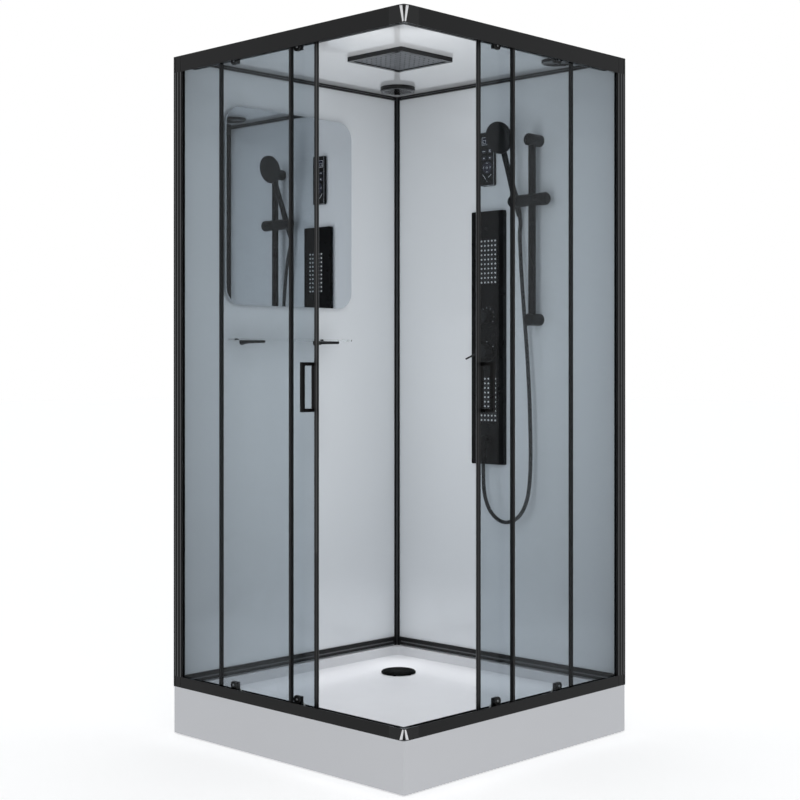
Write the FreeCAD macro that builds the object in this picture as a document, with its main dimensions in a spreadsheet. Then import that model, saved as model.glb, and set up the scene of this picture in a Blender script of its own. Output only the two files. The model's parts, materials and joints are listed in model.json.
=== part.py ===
"""Square steam shower cabin with a sliding corner entry, in millimetres.

+Z is up and the floor is at z = 0. The origin is under the centre levelling foot. The entry corner is
at (+x, -y), the mirror wall at -x and the wall with the shower column at +y. The front-left glazing
lies along -y and the front-right glazing along +x.
"""
import FreeCAD, Part
import math
import os

import Sketcher
from FreeCAD import Placement, Rotation, Vector

doc = FreeCAD.newDocument("ShowerCabin")
sheet = doc.addObject("Spreadsheet::Sheet", "sizes")
filled_rows = []
nodes = []


# ---------------------------------------------------------------- sizes and the sheet

class Size:
    """A length together with the sheet formula that gives it."""

    def __init__(self, value, text):
        self.value = value
        self.text = text

    def __add__(self, other):
        return joined(self, "+", other)

    def __radd__(self, other):
        return joined(other, "+", self)

    def __sub__(self, other):
        return joined(self, "-", other)

    def __rsub__(self, other):
        return joined(other, "-", self)

    def __mul__(self, other):
        return joined(self, "*", other)

    def __rmul__(self, other):
        return joined(other, "*", self)

    def __truediv__(self, other):
        return joined(self, "/", other)

    def __neg__(self):
        return joined(0, "-", self)


def as_size(item):
    return item if isinstance(item, Size) else Size(float(item), "(%s)" % item)


def joined(first, sign, second):
    first = as_size(first)
    second = as_size(second)
    a = first.value
    b = second.value
    value = {"+": a + b, "-": a - b, "*": a * b, "/": a / b if sign == "/" else 0}[sign]
    return Size(value, "(%s %s %s)" % (first.text, sign, second.text))


def size(alias, value, note):
    """Write one driving dimension into the sheet."""
    filled_rows.append(alias)
    row = len(filled_rows)
    sheet.set("A%d" % row, note)
    sheet.set("B%d" % row, str(value))
    sheet.setAlias("B%d" % row, alias)
    return Size(value, "sizes.%s" % alias)


# overall
cabin_width = size("cabin_width", 1000, "outside width along x")
cabin_depth = size("cabin_depth", 1000, "outside depth along y")
frame_height = size("frame_height", 2112, "floor to top of frame")
fit_gap = size("fit_gap", 0.3, "clearance between pieces that move or slot together")
# tray
skirt_height = size("skirt_height", 148, "floor to tray rim")
skirt_clear = size("skirt_clear", 4, "gap under the skirt")
skirt_wall = size("skirt_wall", 4, "thickness of the skirt")
basin_depth = size("basin_depth", 28, "rim to tray floor")
tray_shell = size("tray_shell", 5, "thickness of tray floor and rim")
rim_width = size("rim_width", 62, "width of the tray rim under the glazed fronts")
rim_back = size("rim_back", 32, "width of the tray rim along the walls")
basin_corner = size("basin_corner", 45, "corner radius of the basin")
drain_offset = size("drain_offset", 230, "centre to drain along x and along y")
drain_radius = size("drain_radius", 45, "radius of the drain hole")
cover_radius = size("cover_radius", 57.5, "radius of the drain cover")
cover_height = size("cover_height", 11, "height of the drain cover over the tray floor")
drain_depth = size("drain_depth", 84, "depth of the drain body")
spigot_radius = size("spigot_radius", 20, "radius of the waste spigot")
spigot_length = size("spigot_length", 45, "length of the waste spigot")
waste_notch = size("waste_notch", 42, "half width of the skirt's notch for the waste pipe")
foot_reach = size("foot_reach", 400, "centre to the outer feet along x and along y")
foot_radius = size("foot_radius", 25, "radius of a foot pad")
tube_size = size("tube_size", 25, "side of the square tubes under the tray")
tube_wall = size("tube_wall", 2, "wall of the square tubes")
# glazed fronts
rail_depth = size("rail_depth", 57, "depth of top and bottom rails")
top_rail_height = size("top_rail_height", 50, "height of the top rail's face")
bottom_rail_height = size("bottom_rail_height", 33, "height of the bottom rail's face")
rail_wall = size("rail_wall", 2.5, "wall of the rails")
post_width = size("post_width", 39, "face width of a wall post")
post_leg = size("post_leg", 16, "thickness of a wall post's legs")
post_side = size("post_side", 24, "length of a wall post's leg along its wall")
wall_slot = size("wall_slot", 10, "depth of a wall post's slot for its wall panel")
post_wall = size("post_wall", 2, "wall of the hollow posts")
glass_thickness = size("glass_thickness", 5, "thickness of glass panes and wall panels")
pane_inset = size("pane_inset", 7, "cabin outside to fixed panes and wall panels")
pane_end = size("pane_end", 539, "post outside to free edge of a fixed pane")
edge_width = size("edge_width", 8, "face width of a fixed pane's edge profile")
edge_depth = size("edge_depth", 9, "depth of a fixed pane's edge profile")
corner_wall = size("corner_wall", 3, "wall of a corner joint")
corner_round = size("corner_round", 26, "largest corner radius of a corner joint")
corner_sharp = size("corner_sharp", 2, "smallest corner radius of a corner joint")
# doors
door_inset = size("door_inset", 32, "cabin outside to door glass")
door_width = size("door_width", 443, "width of a door")
door_low = size("door_low", 20, "tray rim to bottom edge of a door")
door_high = size("door_high", 26, "frame top to top edge of a door")
left_tip = size("left_tip", 636, "post outside to the left door's leading end at rest")
right_tip = size("right_tip", 677, "post outside to the right door's leading end at rest")
lead_width = size("lead_width", 19, "face width of a leading profile")
trail_width = size("trail_width", 9, "face width of a trailing profile")
trail_depth = size("trail_depth", 9, "depth of a trailing profile")
profile_depth = size("profile_depth", 13, "depth of a leading profile")
lap_gap = size("lap_gap", 0.6, "gap where a door's fin laps behind a fixed pane's seal lip")
lip_end = size("lip_end", 22, "cabin outside to the inner edge of a fixed pane's seal lip")
carriage_lead = size("carriage_lead", 92, "leading end to the first carriage")
carriage_trail = size("carriage_trail", 69, "trailing end to the second carriage")
wheel_radius = size("wheel_radius", 12, "radius of a roller")
wheel_width = size("wheel_width", 6, "width of a roller")
axle_radius = size("axle_radius", 3, "radius of a roller's axle")
cap_radius = size("cap_radius", 13, "radius of a carriage's outside cap")
cap_shift = size("cap_shift", 21, "cap centre to axle centre")
handle_height = size("handle_height", 142, "height of a handle")
handle_middle = size("handle_middle", 1087, "floor to middle of a handle")
handle_reach = size("handle_reach", 46, "door glass to front of a handle")
handle_bar = size("handle_bar", 10, "side of a handle's bar")
handle_inset = size("handle_inset", 28, "leading end to middle of a handle")
# walls and ceiling
ceiling_drop = size("ceiling_drop", 0, "frame top to underside of ceiling panel")
ceiling_thickness = size("ceiling_thickness", 6, "thickness of ceiling panel")
ceiling_edge = size("ceiling_edge", 20, "cabin outside to the ceiling panel's edge on the top rails")
trim_thickness = size("trim_thickness", 8, "thickness of the wall trims")
top_trim_height = size("top_trim_height", 13, "height of the upper wall trims")
low_trim_height = size("low_trim_height", 26, "height of the lower wall trims")
low_trim_lift = size("low_trim_lift", 5, "tray rim to lower wall trims")
corner_leg = size("corner_leg", 26, "leg of the back corner post")
# rain head, fan, speaker
rain_side = size("rain_side", 236, "side of the rain head")
rain_thickness = size("rain_thickness", 14, "thickness of the rain head")
rain_pitch = size("rain_pitch", 21, "spacing of the rain head's nozzles")
rain_shift = size("rain_shift", 5, "rain head's shift from the middle towards the entry")
fan_offset = size("fan_offset", 350, "centre to fan along x and along y")
fan_radius = size("fan_radius", 60, "radius of the fan's grille")
speaker_side = size("speaker_side", 325, "centre to speaker along x")
speaker_back = size("speaker_back", 375, "centre to speaker along y")
speaker_radius = size("speaker_radius", 50, "radius of the speaker")
# shower column
panel_middle = size("panel_middle", -47, "x of the shower panel's centre line")
panel_width = size("panel_width", 140, "width of the shower panel")
panel_thickness = size("panel_thickness", 16, "thickness of the shower panel")
panel_drop = size("panel_drop", 1296, "frame top to bottom of the shower panel")
panel_height = size("panel_height", 855, "height of the shower panel")
jet_pitch = size("jet_pitch", 15.2, "spacing of the body jets across")
jets_shift = size("jets_shift", 5, "shower panel's centre line to the middle of the body jets")
jet_rise = size("jet_rise", 15.5, "spacing of the body jets upwards")
jet_radius = size("jet_radius", 3.2, "radius of a body jet")
upper_jets_drop = size("upper_jets_drop", 682, "frame top to lowest row of the upper jets")
lower_jets_drop = size("lower_jets_drop", 1147, "frame top to lowest row of the lower jets")
upper_knob_drop = size("upper_knob_drop", 799, "frame top to the temperature knob")
lower_knob_drop = size("lower_knob_drop", 914, "frame top to the diverter knob")
rosette_radius = size("rosette_radius", 37, "radius of the ring behind a knob")
knob_radius = size("knob_radius", 24, "radius of a knob")
knob_depth = size("knob_depth", 34, "depth of a knob")
spindle_radius = size("spindle_radius", 6, "radius of the valve spindles")
lever_length = size("lever_length", 75, "diverter axis to tip of its lever")
outlet_drop = size("outlet_drop", 1212, "frame top to the hose outlet")
outlet_length = size("outlet_length", 80, "length of the hose outlet below its elbow")
outlet_reach = size("outlet_reach", 22, "shower panel face to axis of the hose outlet")
bar_x = size("bar_x", 163, "x of the slide bar")
bar_out = size("bar_out", 39, "wall face to axis of the slide bar")
bar_radius = size("bar_radius", 12.5, "radius of the slide bar")
bar_drop = size("bar_drop", 225, "frame top to the upper bracket")
bar_length = size("bar_length", 588, "lower to upper bracket")
bracket_radius = size("bracket_radius", 20, "radius of the bar's brackets")
bracket_length = size("bracket_length", 63, "length of the bar's brackets")
slider_drop = size("slider_drop", 421, "frame top to the slider's axis")
slider_radius = size("slider_radius", 20, "radius of the slider")
slider_left = size("slider_left", 72, "x of the slider's left end")
holder_length = size("holder_length", 42, "length of the handset holder")
clamp_length = size("clamp_length", 85, "length of the clamp round the bar")
clamp_knob_length = size("clamp_knob_length", 29, "length of the clamp knob")
handset_x = size("handset_x", 95, "x of the handset's axis")
handset_lean = size("handset_lean", 21.2, "lean of the handset in degrees")
handset_length = size("handset_length", 219, "slider axis to middle of the handset's head")
head_radius = size("head_radius", 53, "radius of the handset's head")
head_tilt = size("head_tilt", 6, "tilt of the handset's face from its handle in degrees")
# key pad
pad_width = size("pad_width", 60, "width of the key pad")
pad_drop = size("pad_drop", 355, "frame top to bottom of the key pad")
pad_height = size("pad_height", 182, "height of the key pad")
pad_thickness = size("pad_thickness", 13, "thickness of the key pad")
key_travel = size("key_travel", 1, "travel of a key")
key_rise = size("key_rise", 1.2, "how far a key stands out")
key_depth = size("key_depth", 4, "thickness of a key")
# mirror and shelf
mirror_drop = size("mirror_drop", 127, "frame top to top of the mirror")
mirror_height = size("mirror_height", 640, "height of the mirror")
mirror_width = size("mirror_width", 553, "width of the mirror")
mirror_start = size("mirror_start", -310, "y of the mirror's edge nearest the entry")
mirror_corner = size("mirror_corner", 60, "corner radius of the mirror")
mirror_stand = size("mirror_stand", 13, "wall face to back of the mirror")
shelf_drop = size("shelf_drop", 876, "frame top to top of the shelf")
shelf_depth = size("shelf_depth", 115, "depth of the shelf glass")
shelf_start = size("shelf_start", -298, "y of the shelf's end nearest the entry")
shelf_length = size("shelf_length", 450, "length of the shelf glass")
shelf_glass = size("shelf_glass", 6, "thickness of the shelf glass")
bracket_start = size("bracket_start", 66, "shelf's entry end to its first bracket")
bracket_end = size("bracket_end", 62, "shelf's other end to its second bracket")
bracket_arm = size("bracket_arm", 88, "length of a shelf bracket's slim arm")
bracket_plate = size("bracket_plate", 10, "radius of a shelf bracket's wall plate")
# supply behind the wall
supply_radius = size("supply_radius", 8, "radius of the supply pipes")
supply_out = size("supply_out", 24, "wall panel's back to axis of the supply pipes")
inlet_radius = size("inlet_radius", 10.4, "radius of the hot and cold inlet stubs")
inlet_length = size("inlet_length", 25, "length of the inlet stubs")
valve_width = size("valve_width", 60, "width of the mixer valve")
valve_depth = size("valve_depth", 42, "depth of the mixer valve")
valve_over = size("valve_over", 40, "knob's axis to the end of the mixer valve")
# hose
hose_radius = size("hose_radius", 6.5, "radius of the shower hose")

west = -cabin_width / 2
east = cabin_width / 2
south = -cabin_depth / 2
north = cabin_depth / 2
tray_floor = skirt_height - basin_depth
spigot_height = tray_floor - tray_shell - drain_depth + spigot_radius + 4
ceiling = frame_height - ceiling_drop
roof_top = ceiling + ceiling_thickness
wall_west = west + pane_inset + glass_thickness
wall_north = north - pane_inset - glass_thickness
panel_low = frame_height - panel_drop
upper_jets = frame_height - upper_jets_drop
lower_jets = frame_height - lower_jets_drop
upper_knob = frame_height - upper_knob_drop
lower_knob = frame_height - lower_knob_drop
outlet_height = frame_height - outlet_drop
outlet_end = outlet_height - outlet_length
bar_high = frame_height - bar_drop
bar_low = bar_high - bar_length
slider_height = frame_height - slider_drop
pad_low = frame_height - pad_drop
mirror_low = frame_height - mirror_drop - mirror_height
shelf_height = frame_height - shelf_drop


# ---------------------------------------------------------------- primitives bound to the sheet

TURNS = {
    "+x": Rotation(Vector(0, 1, 0), 90),
    "-x": Rotation(Vector(0, 1, 0), -90),
    "+y": Rotation(Vector(1, 0, 0), -90),
    "-y": Rotation(Vector(1, 0, 0), 90),
    "+z": Rotation(),
    "-z": Rotation(Vector(1, 0, 0), 180),
}


def bind(item, name, amount):
    item.setExpression(name, as_size(amount).text)


def place(item, corner, direction="+z"):
    item.Placement = Placement(Vector(), TURNS[direction])
    for letter, amount in zip("xyz", corner):
        bind(item, ".Placement.Base." + letter, amount)
    return item


def box(label, corner, lengths):
    item = doc.addObject("Part::Box", label)
    for name, amount in zip(("Length", "Width", "Height"), lengths):
        bind(item, name, amount)
    return place(item, corner)


def rod(label, start, direction, radius, length):
    item = doc.addObject("Part::Cylinder", label)
    bind(item, "Radius", radius)
    bind(item, "Height", length)
    return place(item, start, direction)


def cone(label, start, direction, first_radius, last_radius, length):
    item = doc.addObject("Part::Cone", label)
    bind(item, "Radius1", first_radius)
    bind(item, "Radius2", last_radius)
    bind(item, "Height", length)
    return place(item, start, direction)


def fuse(label, *pieces):
    item = doc.addObject("Part::MultiFuse", label)
    item.Shapes = list(pieces)
    item.Refine = True
    return item


def cut(label, base, *tools):
    item = doc.addObject("Part::Cut", label)
    item.Base = base
    item.Tool = tools[0] if len(tools) == 1 else fuse(label + "_tools", *tools)
    item.Refine = True
    return item


def group(label, *pieces):
    item = doc.addObject("Part::Compound", label)
    item.Links = list(pieces)
    return item


def node(name, item):
    """Name a finished sub-part: its label is the name of its file."""
    item.Label = name
    nodes.append(item)
    return item


# ---------------------------------------------------------------- sketches and bodies

def new_body(label):
    body = doc.addObject("PartDesign::Body", label)
    body.AllowCompound = True
    return body


def new_sketch(body, plane, lift=None, turn=0, shift=(0, 0)):
    """A sketch on one of the body's own planes, lifted, turned and shifted in that plane."""
    sketch = body.newObject("Sketcher::SketchObject", body.Name + "_sketch")
    base = [item for item in body.Origin.OriginFeatures if item.Role == plane + "_Plane"][0]
    sketch.AttachmentSupport = [(base, "")]
    sketch.MapMode = "FlatFace"
    sketch.AttachmentOffset = Placement(Vector(), Rotation(Vector(0, 0, 1), turn))
    if lift is not None:
        bind(sketch, ".AttachmentOffset.Base.z", lift)
    for letter, amount in zip("xy", shift):
        bind(sketch, ".AttachmentOffset.Base." + letter, amount)
    return sketch


def hold(sketch, geometry, end, point):
    """Fix one end of a line at a point, by its distances from the sketch's origin."""
    for kind, amount in (("DistanceX", point[0]), ("DistanceY", point[1])):
        index = sketch.addConstraint(Sketcher.Constraint(kind, geometry, end, as_size(amount).value))
        bind(sketch, "Constraints[%d]" % index, amount)


def sign(number):
    return (number > 1e-9) - (number < -1e-9)


def outline(sketch, points):
    """A closed outline. A point with a third value gets that radius, on a square corner."""
    count = len(points)
    joints = []
    for index, point in enumerate(points):
        here = [as_size(amount) for amount in point[:2]]
        if len(point) == 2:
            joints.append((here, here, None, None))
            continue
        radius = as_size(point[2])
        before = [as_size(amount) for amount in points[index - 1][:2]]
        after = [as_size(amount) for amount in points[(index + 1) % count][:2]]
        back = [sign(before[k].value - here[k].value) for k in (0, 1)]
        ahead = [sign(after[k].value - here[k].value) for k in (0, 1)]
        arrive = [here[k] + back[k] * radius for k in (0, 1)]
        leave = [here[k] + ahead[k] * radius for k in (0, 1)]
        centre = [here[k].value + (back[k] + ahead[k]) * radius.value for k in (0, 1)]
        leftwards = ahead[0] * back[1] - ahead[1] * back[0] > 0
        joints.append((arrive, leave, radius, (centre, leftwards)))
    lines = []
    for index in range(count):
        start = joints[index][1]
        end = joints[(index + 1) % count][0]
        first = Vector(start[0].value, start[1].value, 0)
        last = Vector(end[0].value, end[1].value, 0)
        lines.append(sketch.addGeometry(Part.LineSegment(first, last), False))
        hold(sketch, lines[-1], 1, start)
    for index in range(count):
        arrive, leave, radius, bend = joints[index]
        if radius is None:
            sketch.addConstraint(Sketcher.Constraint("Coincident", lines[index - 1], 2, lines[index], 1))
            continue
        hold(sketch, lines[index - 1], 2, arrive)
        add_corner(sketch, lines[index - 1], lines[index], arrive, leave, radius, bend)


def add_corner(sketch, line_in, line_out, arrive, leave, radius, bend):
    centre, leftwards = bend
    first, last = (arrive, leave) if leftwards else (leave, arrive)
    angles = [math.atan2(p[1].value - centre[1], p[0].value - centre[0]) for p in (first, last)]
    if angles[1] < angles[0]:
        angles[1] += 2 * math.pi
    circle = Part.Circle(Vector(centre[0], centre[1], 0), Vector(0, 0, 1), radius.value)
    arc = sketch.addGeometry(Part.ArcOfCircle(circle, angles[0], angles[1]), False)
    start, end = (1, 2) if leftwards else (2, 1)
    sketch.addConstraint(Sketcher.Constraint("Coincident", line_in, 2, arc, start))
    sketch.addConstraint(Sketcher.Constraint("Coincident", line_out, 1, arc, end))
    index = sketch.addConstraint(Sketcher.Constraint("Radius", arc, radius.value))
    bind(sketch, "Constraints[%d]" % index, radius)


def ring(sketch, x, y, radius):
    """A full circle."""
    centre = Vector(as_size(x).value, as_size(y).value, 0)
    circle = Part.Circle(centre, Vector(0, 0, 1), as_size(radius).value)
    geometry = sketch.addGeometry(circle, False)
    hold(sketch, geometry, 3, (x, y))
    index = sketch.addConstraint(Sketcher.Constraint("Radius", geometry, as_size(radius).value))
    bind(sketch, "Constraints[%d]" % index, radius)


def rectangle(low_x, low_y, high_x, high_y, radius=None):
    corners = [(low_x, low_y), (high_x, low_y), (high_x, high_y), (low_x, high_y)]
    return corners if radius is None else [corner + (radius,) for corner in corners]


def pad(body, plane, outlines, length, lift=None, circles=()):
    """Extrude outlines along the plane's axis: +z for XY, +y for XZ, +x for YZ."""
    sketch = new_sketch(body, plane, -lift if lift is not None and plane == "XZ" else lift)
    for points in outlines:
        outline(sketch, points)
    for x, y, radius in circles:
        ring(sketch, x, y, radius)
    feature = body.newObject("PartDesign::Pad", body.Name + "_pad")
    feature.Profile = sketch
    feature.Reversed = plane == "XZ"
    bind(feature, "Length", length)
    return feature


def pocket(body, plane, outlines, length, lift, forwards, circles=()):
    """Cut outlines out, from lift along the plane's axis, forwards or backwards."""
    sketch = new_sketch(body, plane, -as_size(lift) if plane == "XZ" else lift)
    for points in outlines:
        outline(sketch, points)
    for x, y, radius in circles:
        ring(sketch, x, y, radius)
    feature = body.newObject("PartDesign::Pocket", body.Name + "_pocket")
    feature.Profile = sketch
    feature.Reversed = forwards != (plane == "XZ")
    bind(feature, "Length", length)
    return feature


def extrusion(label, plane, outlines, start, length):
    body = new_body(label)
    pad(body, plane, outlines, length)
    return place(body, start)


def turned(label, points, start, direction="+z"):
    """Turn an outline of (radius, height) points about the direction through start."""
    body = new_body(label)
    revolve(body, points)
    return place(body, start, direction)


def revolve(body, points, plane="XZ", turn=0, shift=(0, 0)):
    sketch = new_sketch(body, plane, turn=turn, shift=shift)
    outline(sketch, points)
    feature = body.newObject("PartDesign::Revolution", body.Name + "_turn")
    feature.Profile = sketch
    feature.ReferenceAxis = (sketch, ["V_Axis"])
    feature.Angle = 360
    return feature


def pattern_round(body, feature, copies):
    """Repeat a feature round the body's z axis."""
    axis = [item for item in body.Origin.OriginFeatures if item.Role == "Z_Axis"][0]
    item = body.newObject("PartDesign::PolarPattern", body.Name + "_round")
    item.Originals = [feature]
    item.Axis = (axis, [""])
    item.Angle = 360
    item.Occurrences = copies
    body.Tip = item
    return item


def repeated(body, feature, rows):
    """Repeat a feature in rows: each has one of the body's axes, a length and a number of copies."""
    item = body.newObject("PartDesign::MultiTransform", body.Name + "_grid")
    steps = []
    for role, length, copies in rows:
        step = body.newObject("PartDesign::LinearPattern", body.Name + "_row")
        axis = [part for part in body.Origin.OriginFeatures if part.Role == role][0]
        step.Direction = (axis, [""])
        bind(step, "Length", length)
        step.Occurrences = copies
        steps.append(step)
    item.Originals = [feature]
    item.Transformations = steps
    body.Tip = item


# ---------------------------------------------------------------- the two glazed fronts

class Front:
    """A glazed front: u runs along it from its wall post to the entry corner, w runs inwards."""

    def __init__(self, name, left, tip):
        self.name = name
        self.left = left
        self.tip = tip
        self.tail = tip - door_width
        self.length = cabin_width if left else cabin_depth

    def at(self, u, w):
        return (west + u, south + w) if self.left else (east - w, north - u)

    def box(self, label, u, w, z, du, dw, dz):
        if self.left:
            return box(label, (west + u, south + w, z), (du, dw, dz))
        return box(label, (east - w - dw, north - u - du, z), (dw, du, dz))

    def rod(self, label, u, w, z, radius, length):
        """A rod that runs inwards from the outer face."""
        return rod(label, self.at(u, w) + (z,), "+y" if self.left else "-x", radius, length)

    def upright(self, label, points, z, height, *chambers):
        """A plan outline of (u, w) points and any hollow chambers in it, extruded upwards."""
        plans = [[self.at(u, w) for u, w in loop] for loop in (points,) + chambers]
        return extrusion(label, "XY", plans, (0, 0, z), height)

    def lengthwise(self, label, points, u, length):
        """A section of (w, z) points, extruded along the front."""
        if self.left:
            section = [(south + w, z) for w, z in points]
            return extrusion(label, "YZ", [section], (west + u, 0, 0), length)
        section = [(east - w, z) for w, z in points]
        return extrusion(label, "XZ", [section], (0, north - u - length, 0), length)


left = Front("left", True, left_tip)
right = Front("right", False, right_tip)
fronts = (left, right)
corner_arm = rail_depth


def slot_low(inset):
    return inset - fit_gap


def slot_high(inset):
    return inset + glass_thickness + fit_gap


# rails: heights of their inner parts, shared with panes, profiles and wheels
glass_rib_inner = pane_inset + glass_thickness + 3
top_rib = frame_height - 27
top_lip = frame_height - 38
lip_reach = door_inset + glass_thickness + 8
low_rib = skirt_height + 17
low_wall = skirt_height + 20
track_top = skirt_height + rail_wall + 1.2
top_axle = top_lip + rail_wall + fit_gap + wheel_radius
low_axle = track_top + fit_gap + wheel_radius
door_bottom = skirt_height + door_low
door_top = frame_height - door_high


def top_rail(front):
    under = frame_height - rail_wall
    inner = rail_depth - rail_wall
    points = [
        (0, frame_height - top_rail_height), (rail_wall, frame_height - top_rail_height),
        (rail_wall, under), (glass_rib_inner - rail_wall, under), (glass_rib_inner - rail_wall, top_rib),
        (glass_rib_inner, top_rib), (glass_rib_inner, under), (inner, under),
        (inner, top_lip + rail_wall), (lip_reach, top_lip + rail_wall), (lip_reach, top_lip),
        (rail_depth, top_lip), (rail_depth, frame_height), (0, frame_height)]
    length = front.length - corner_arm - post_width
    return front.lengthwise(front.name + "_top_rail", points, post_width, length)


def bottom_rail(front):
    floor = skirt_height + rail_wall
    inner = rail_depth - rail_wall
    track = wheel_width + 2
    points = [
        (0, skirt_height), (rail_depth, skirt_height), (rail_depth, low_wall), (inner, low_wall),
        (inner, floor), (lip_reach + track, floor), (lip_reach + track, track_top), (lip_reach, track_top),
        (lip_reach, floor), (glass_rib_inner, floor), (glass_rib_inner, low_rib),
        (glass_rib_inner - rail_wall, low_rib), (glass_rib_inner - rail_wall, floor), (rail_wall, floor),
        (rail_wall, skirt_height + bottom_rail_height), (0, skirt_height + bottom_rail_height)]
    length = front.length - corner_arm - post_width
    return front.lengthwise(front.name + "_bottom_rail", points, post_width, length)


def wall_post(front):
    groove = 1.5
    slot_end = post_width - 12
    panel_end = post_side - wall_slot
    points = [(0, 0)]
    for start in (8, post_width - 5.5):
        points += [(start, 0), (start, groove), (start + groove, groove), (start + groove, 0)]
    points += [
        (post_width, 0), (post_width, slot_low(pane_inset)), (slot_end, slot_low(pane_inset)),
        (slot_end, slot_high(pane_inset)), (post_width, slot_high(pane_inset)), (post_width, post_leg),
        (post_leg, post_leg), (post_leg, post_side), (slot_high(pane_inset), post_side),
        (slot_high(pane_inset), panel_end), (slot_low(pane_inset), panel_end),
        (slot_low(pane_inset), post_side), (0, post_side)]
    hollow = rectangle(post_wall, groove + post_wall, slot_end - post_wall, panel_end - post_wall)
    return front.upright(front.name + "_wall_post", points, skirt_height, frame_height - skirt_height,
                         hollow)


def fixed_pane(front):
    start = post_width - 12 + 2
    low = skirt_height + rail_wall + fit_gap
    high = frame_height - rail_wall - fit_gap
    return front.box(front.name + "_fixed_pane", start, pane_inset, low,
                     pane_end - start, glass_thickness, high - low)


def fixed_edge(front):
    end = pane_end + 3
    start = end - edge_width
    outer = pane_inset - 2
    inner = outer + edge_depth
    points = [
        (start, outer), (end, outer), (end, inner), (start + 2, inner), (start + 2, lip_end),
        (start, lip_end), (start, slot_high(pane_inset)),
        (pane_end + fit_gap, slot_high(pane_inset)), (pane_end + fit_gap, slot_low(pane_inset)),
        (start, slot_low(pane_inset))]
    low = low_rib + fit_gap
    return front.upright(front.name + "_fixed_edge", points, low, top_rib - fit_gap - low)


def corner_joint(label, low, height, broad_on_top):
    """A hollow corner moulding whose outer edge goes from nearly sharp to broadly rounded."""
    body = new_body(label)
    radii = (corner_sharp, corner_round) if broad_on_top else (corner_round, corner_sharp)
    sketches = []
    for lift, radius in zip((low, low + height), radii):
        sketch = new_sketch(body, "XY", lift)
        outline(sketch, [(east - corner_arm, south), (east, south, radius), (east, south + corner_arm),
                         (east - corner_arm, south + corner_arm)])
        sketches.append(sketch)
    loft = body.newObject("PartDesign::AdditiveLoft", label + "_loft")
    loft.Profile = sketches[0]
    loft.Sections = [sketches[1]]
    loft.Ruled = True
    wall = corner_wall
    slope = corner_round * 0.85
    cavity = [(east - corner_arm, south + wall), (east - wall - slope, south + wall),
              (east - wall, south + wall + slope), (east - wall, south + corner_arm),
              (east - corner_arm, south + corner_arm)]
    if broad_on_top:
        pocket(body, "XY", [cavity], height - wall, low, True)
    else:
        pocket(body, "XY", [cavity], height - wall, low + height, False)
    return body


# ---------------------------------------------------------------- doors

def door_pane(front):
    start = front.tail + 3 + fit_gap
    end = front.tip - 12 - fit_gap
    blank = front.box(front.name + "_pane", start, door_inset, door_bottom,
                      end - start, glass_thickness, door_top - door_bottom)
    holes = []
    for u in (front.tip - carriage_lead, front.tail + carriage_trail):
        for z in (top_axle - cap_shift, low_axle + cap_shift):
            label = front.name + "_bolt_hole"
            holes.append(front.rod(label, u, door_inset - 1, z, axle_radius + 1, glass_thickness + 2))
    return cut(front.name + "_door_pane", blank, *holes)


def leading_profile(front):
    """The closing edge, bevelled so that both doors meet on the diagonal."""
    outer = door_inset - 4
    inner = outer + profile_depth
    heel = front.tip - lead_width
    stop = front.tip - 12
    points = [
        (heel, outer), (front.tip, outer), (front.tip - profile_depth, inner), (heel, inner),
        (heel, slot_high(door_inset)), (stop, slot_high(door_inset)), (stop, slot_low(door_inset)),
        (heel, slot_low(door_inset))]
    return front.upright(front.name + "_lead", points, door_bottom, door_top - door_bottom)


def trailing_profile(front):
    """The trailing edge, with a fin that laps behind the fixed pane's edge profile."""
    outer = door_inset - 2
    inner = outer + trail_depth
    end = front.tail + trail_width
    stop = front.tail + 3
    fin = lip_end + lap_gap
    fin_start = front.tail + 5.5
    points = [
        (front.tail, outer), (fin_start, outer), (fin_start, fin), (fin_start + 2, fin),
        (fin_start + 2, outer), (end, outer),
        (end, slot_low(door_inset)), (stop, slot_low(door_inset)), (stop, slot_high(door_inset)),
        (end, slot_high(door_inset)), (end, inner), (front.tail, inner)]
    return front.upright(front.name + "_trail", points, door_bottom, door_top - door_bottom)


def door_handle(front):
    middle = front.tip - handle_inset
    low = handle_middle - handle_height / 2
    start = middle - handle_bar / 2
    plate = front.box(front.name + "_handle_plate", start, door_inset - 2, low, handle_bar, 2,
                      handle_height)
    grip = front.box(front.name + "_handle_grip", start, door_inset - handle_reach, low,
                     handle_bar, handle_bar, handle_height)
    arms = []
    for z in (low, low + handle_height - handle_bar):
        arms.append(front.box(front.name + "_handle_arm", start, door_inset - handle_reach, z,
                              handle_bar, handle_reach, handle_bar))
    return fuse(front.name + "_handle_solid", plate, grip, *arms)


def carriage(front, u, axle, cap):
    """The block that carries one roller: its bolt goes through the glass to a round cap outside."""
    name = front.name + "_carriage"
    inner = door_inset + glass_thickness
    block_depth = lip_reach - inner - 0.5
    half = cap_radius - 2
    low, high = (cap, axle) if cap.value < axle.value else (axle, cap)
    block = front.box(name, u - half, inner, low - half + 2, 2 * half, block_depth, high - low + 2 * half - 4)
    bolt = front.rod(name, u, door_inset - 1, cap, axle_radius, glass_thickness + 3)
    disc = front.rod(name, u, door_inset - 6, cap, cap_radius, 6)
    pin = front.rod(name, u, inner + 1, axle, axle_radius, lip_reach + wheel_width + 1.5 - inner)
    return fuse(name, block, bolt, disc, pin)


def wheel(front, u, axle, label):
    """A roller with a rounded tread and a hub that runs on the carriage's pin."""
    start = front.at(u, lip_reach + 1) + (axle,)
    bore = axle_radius + 0.05
    tread = wheel_radius - 1
    points = [
        (bore, 0), (tread, 0), (wheel_radius, 1), (wheel_radius, wheel_width - 1),
        (tread, wheel_width), (tread - 2, wheel_width), (tread - 3, wheel_width - 1.5),
        (bore + 2, wheel_width - 1.5), (bore + 1.5, wheel_width), (bore, wheel_width)]
    return turned(label, points, start, "+y" if front.left else "-x")


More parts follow.
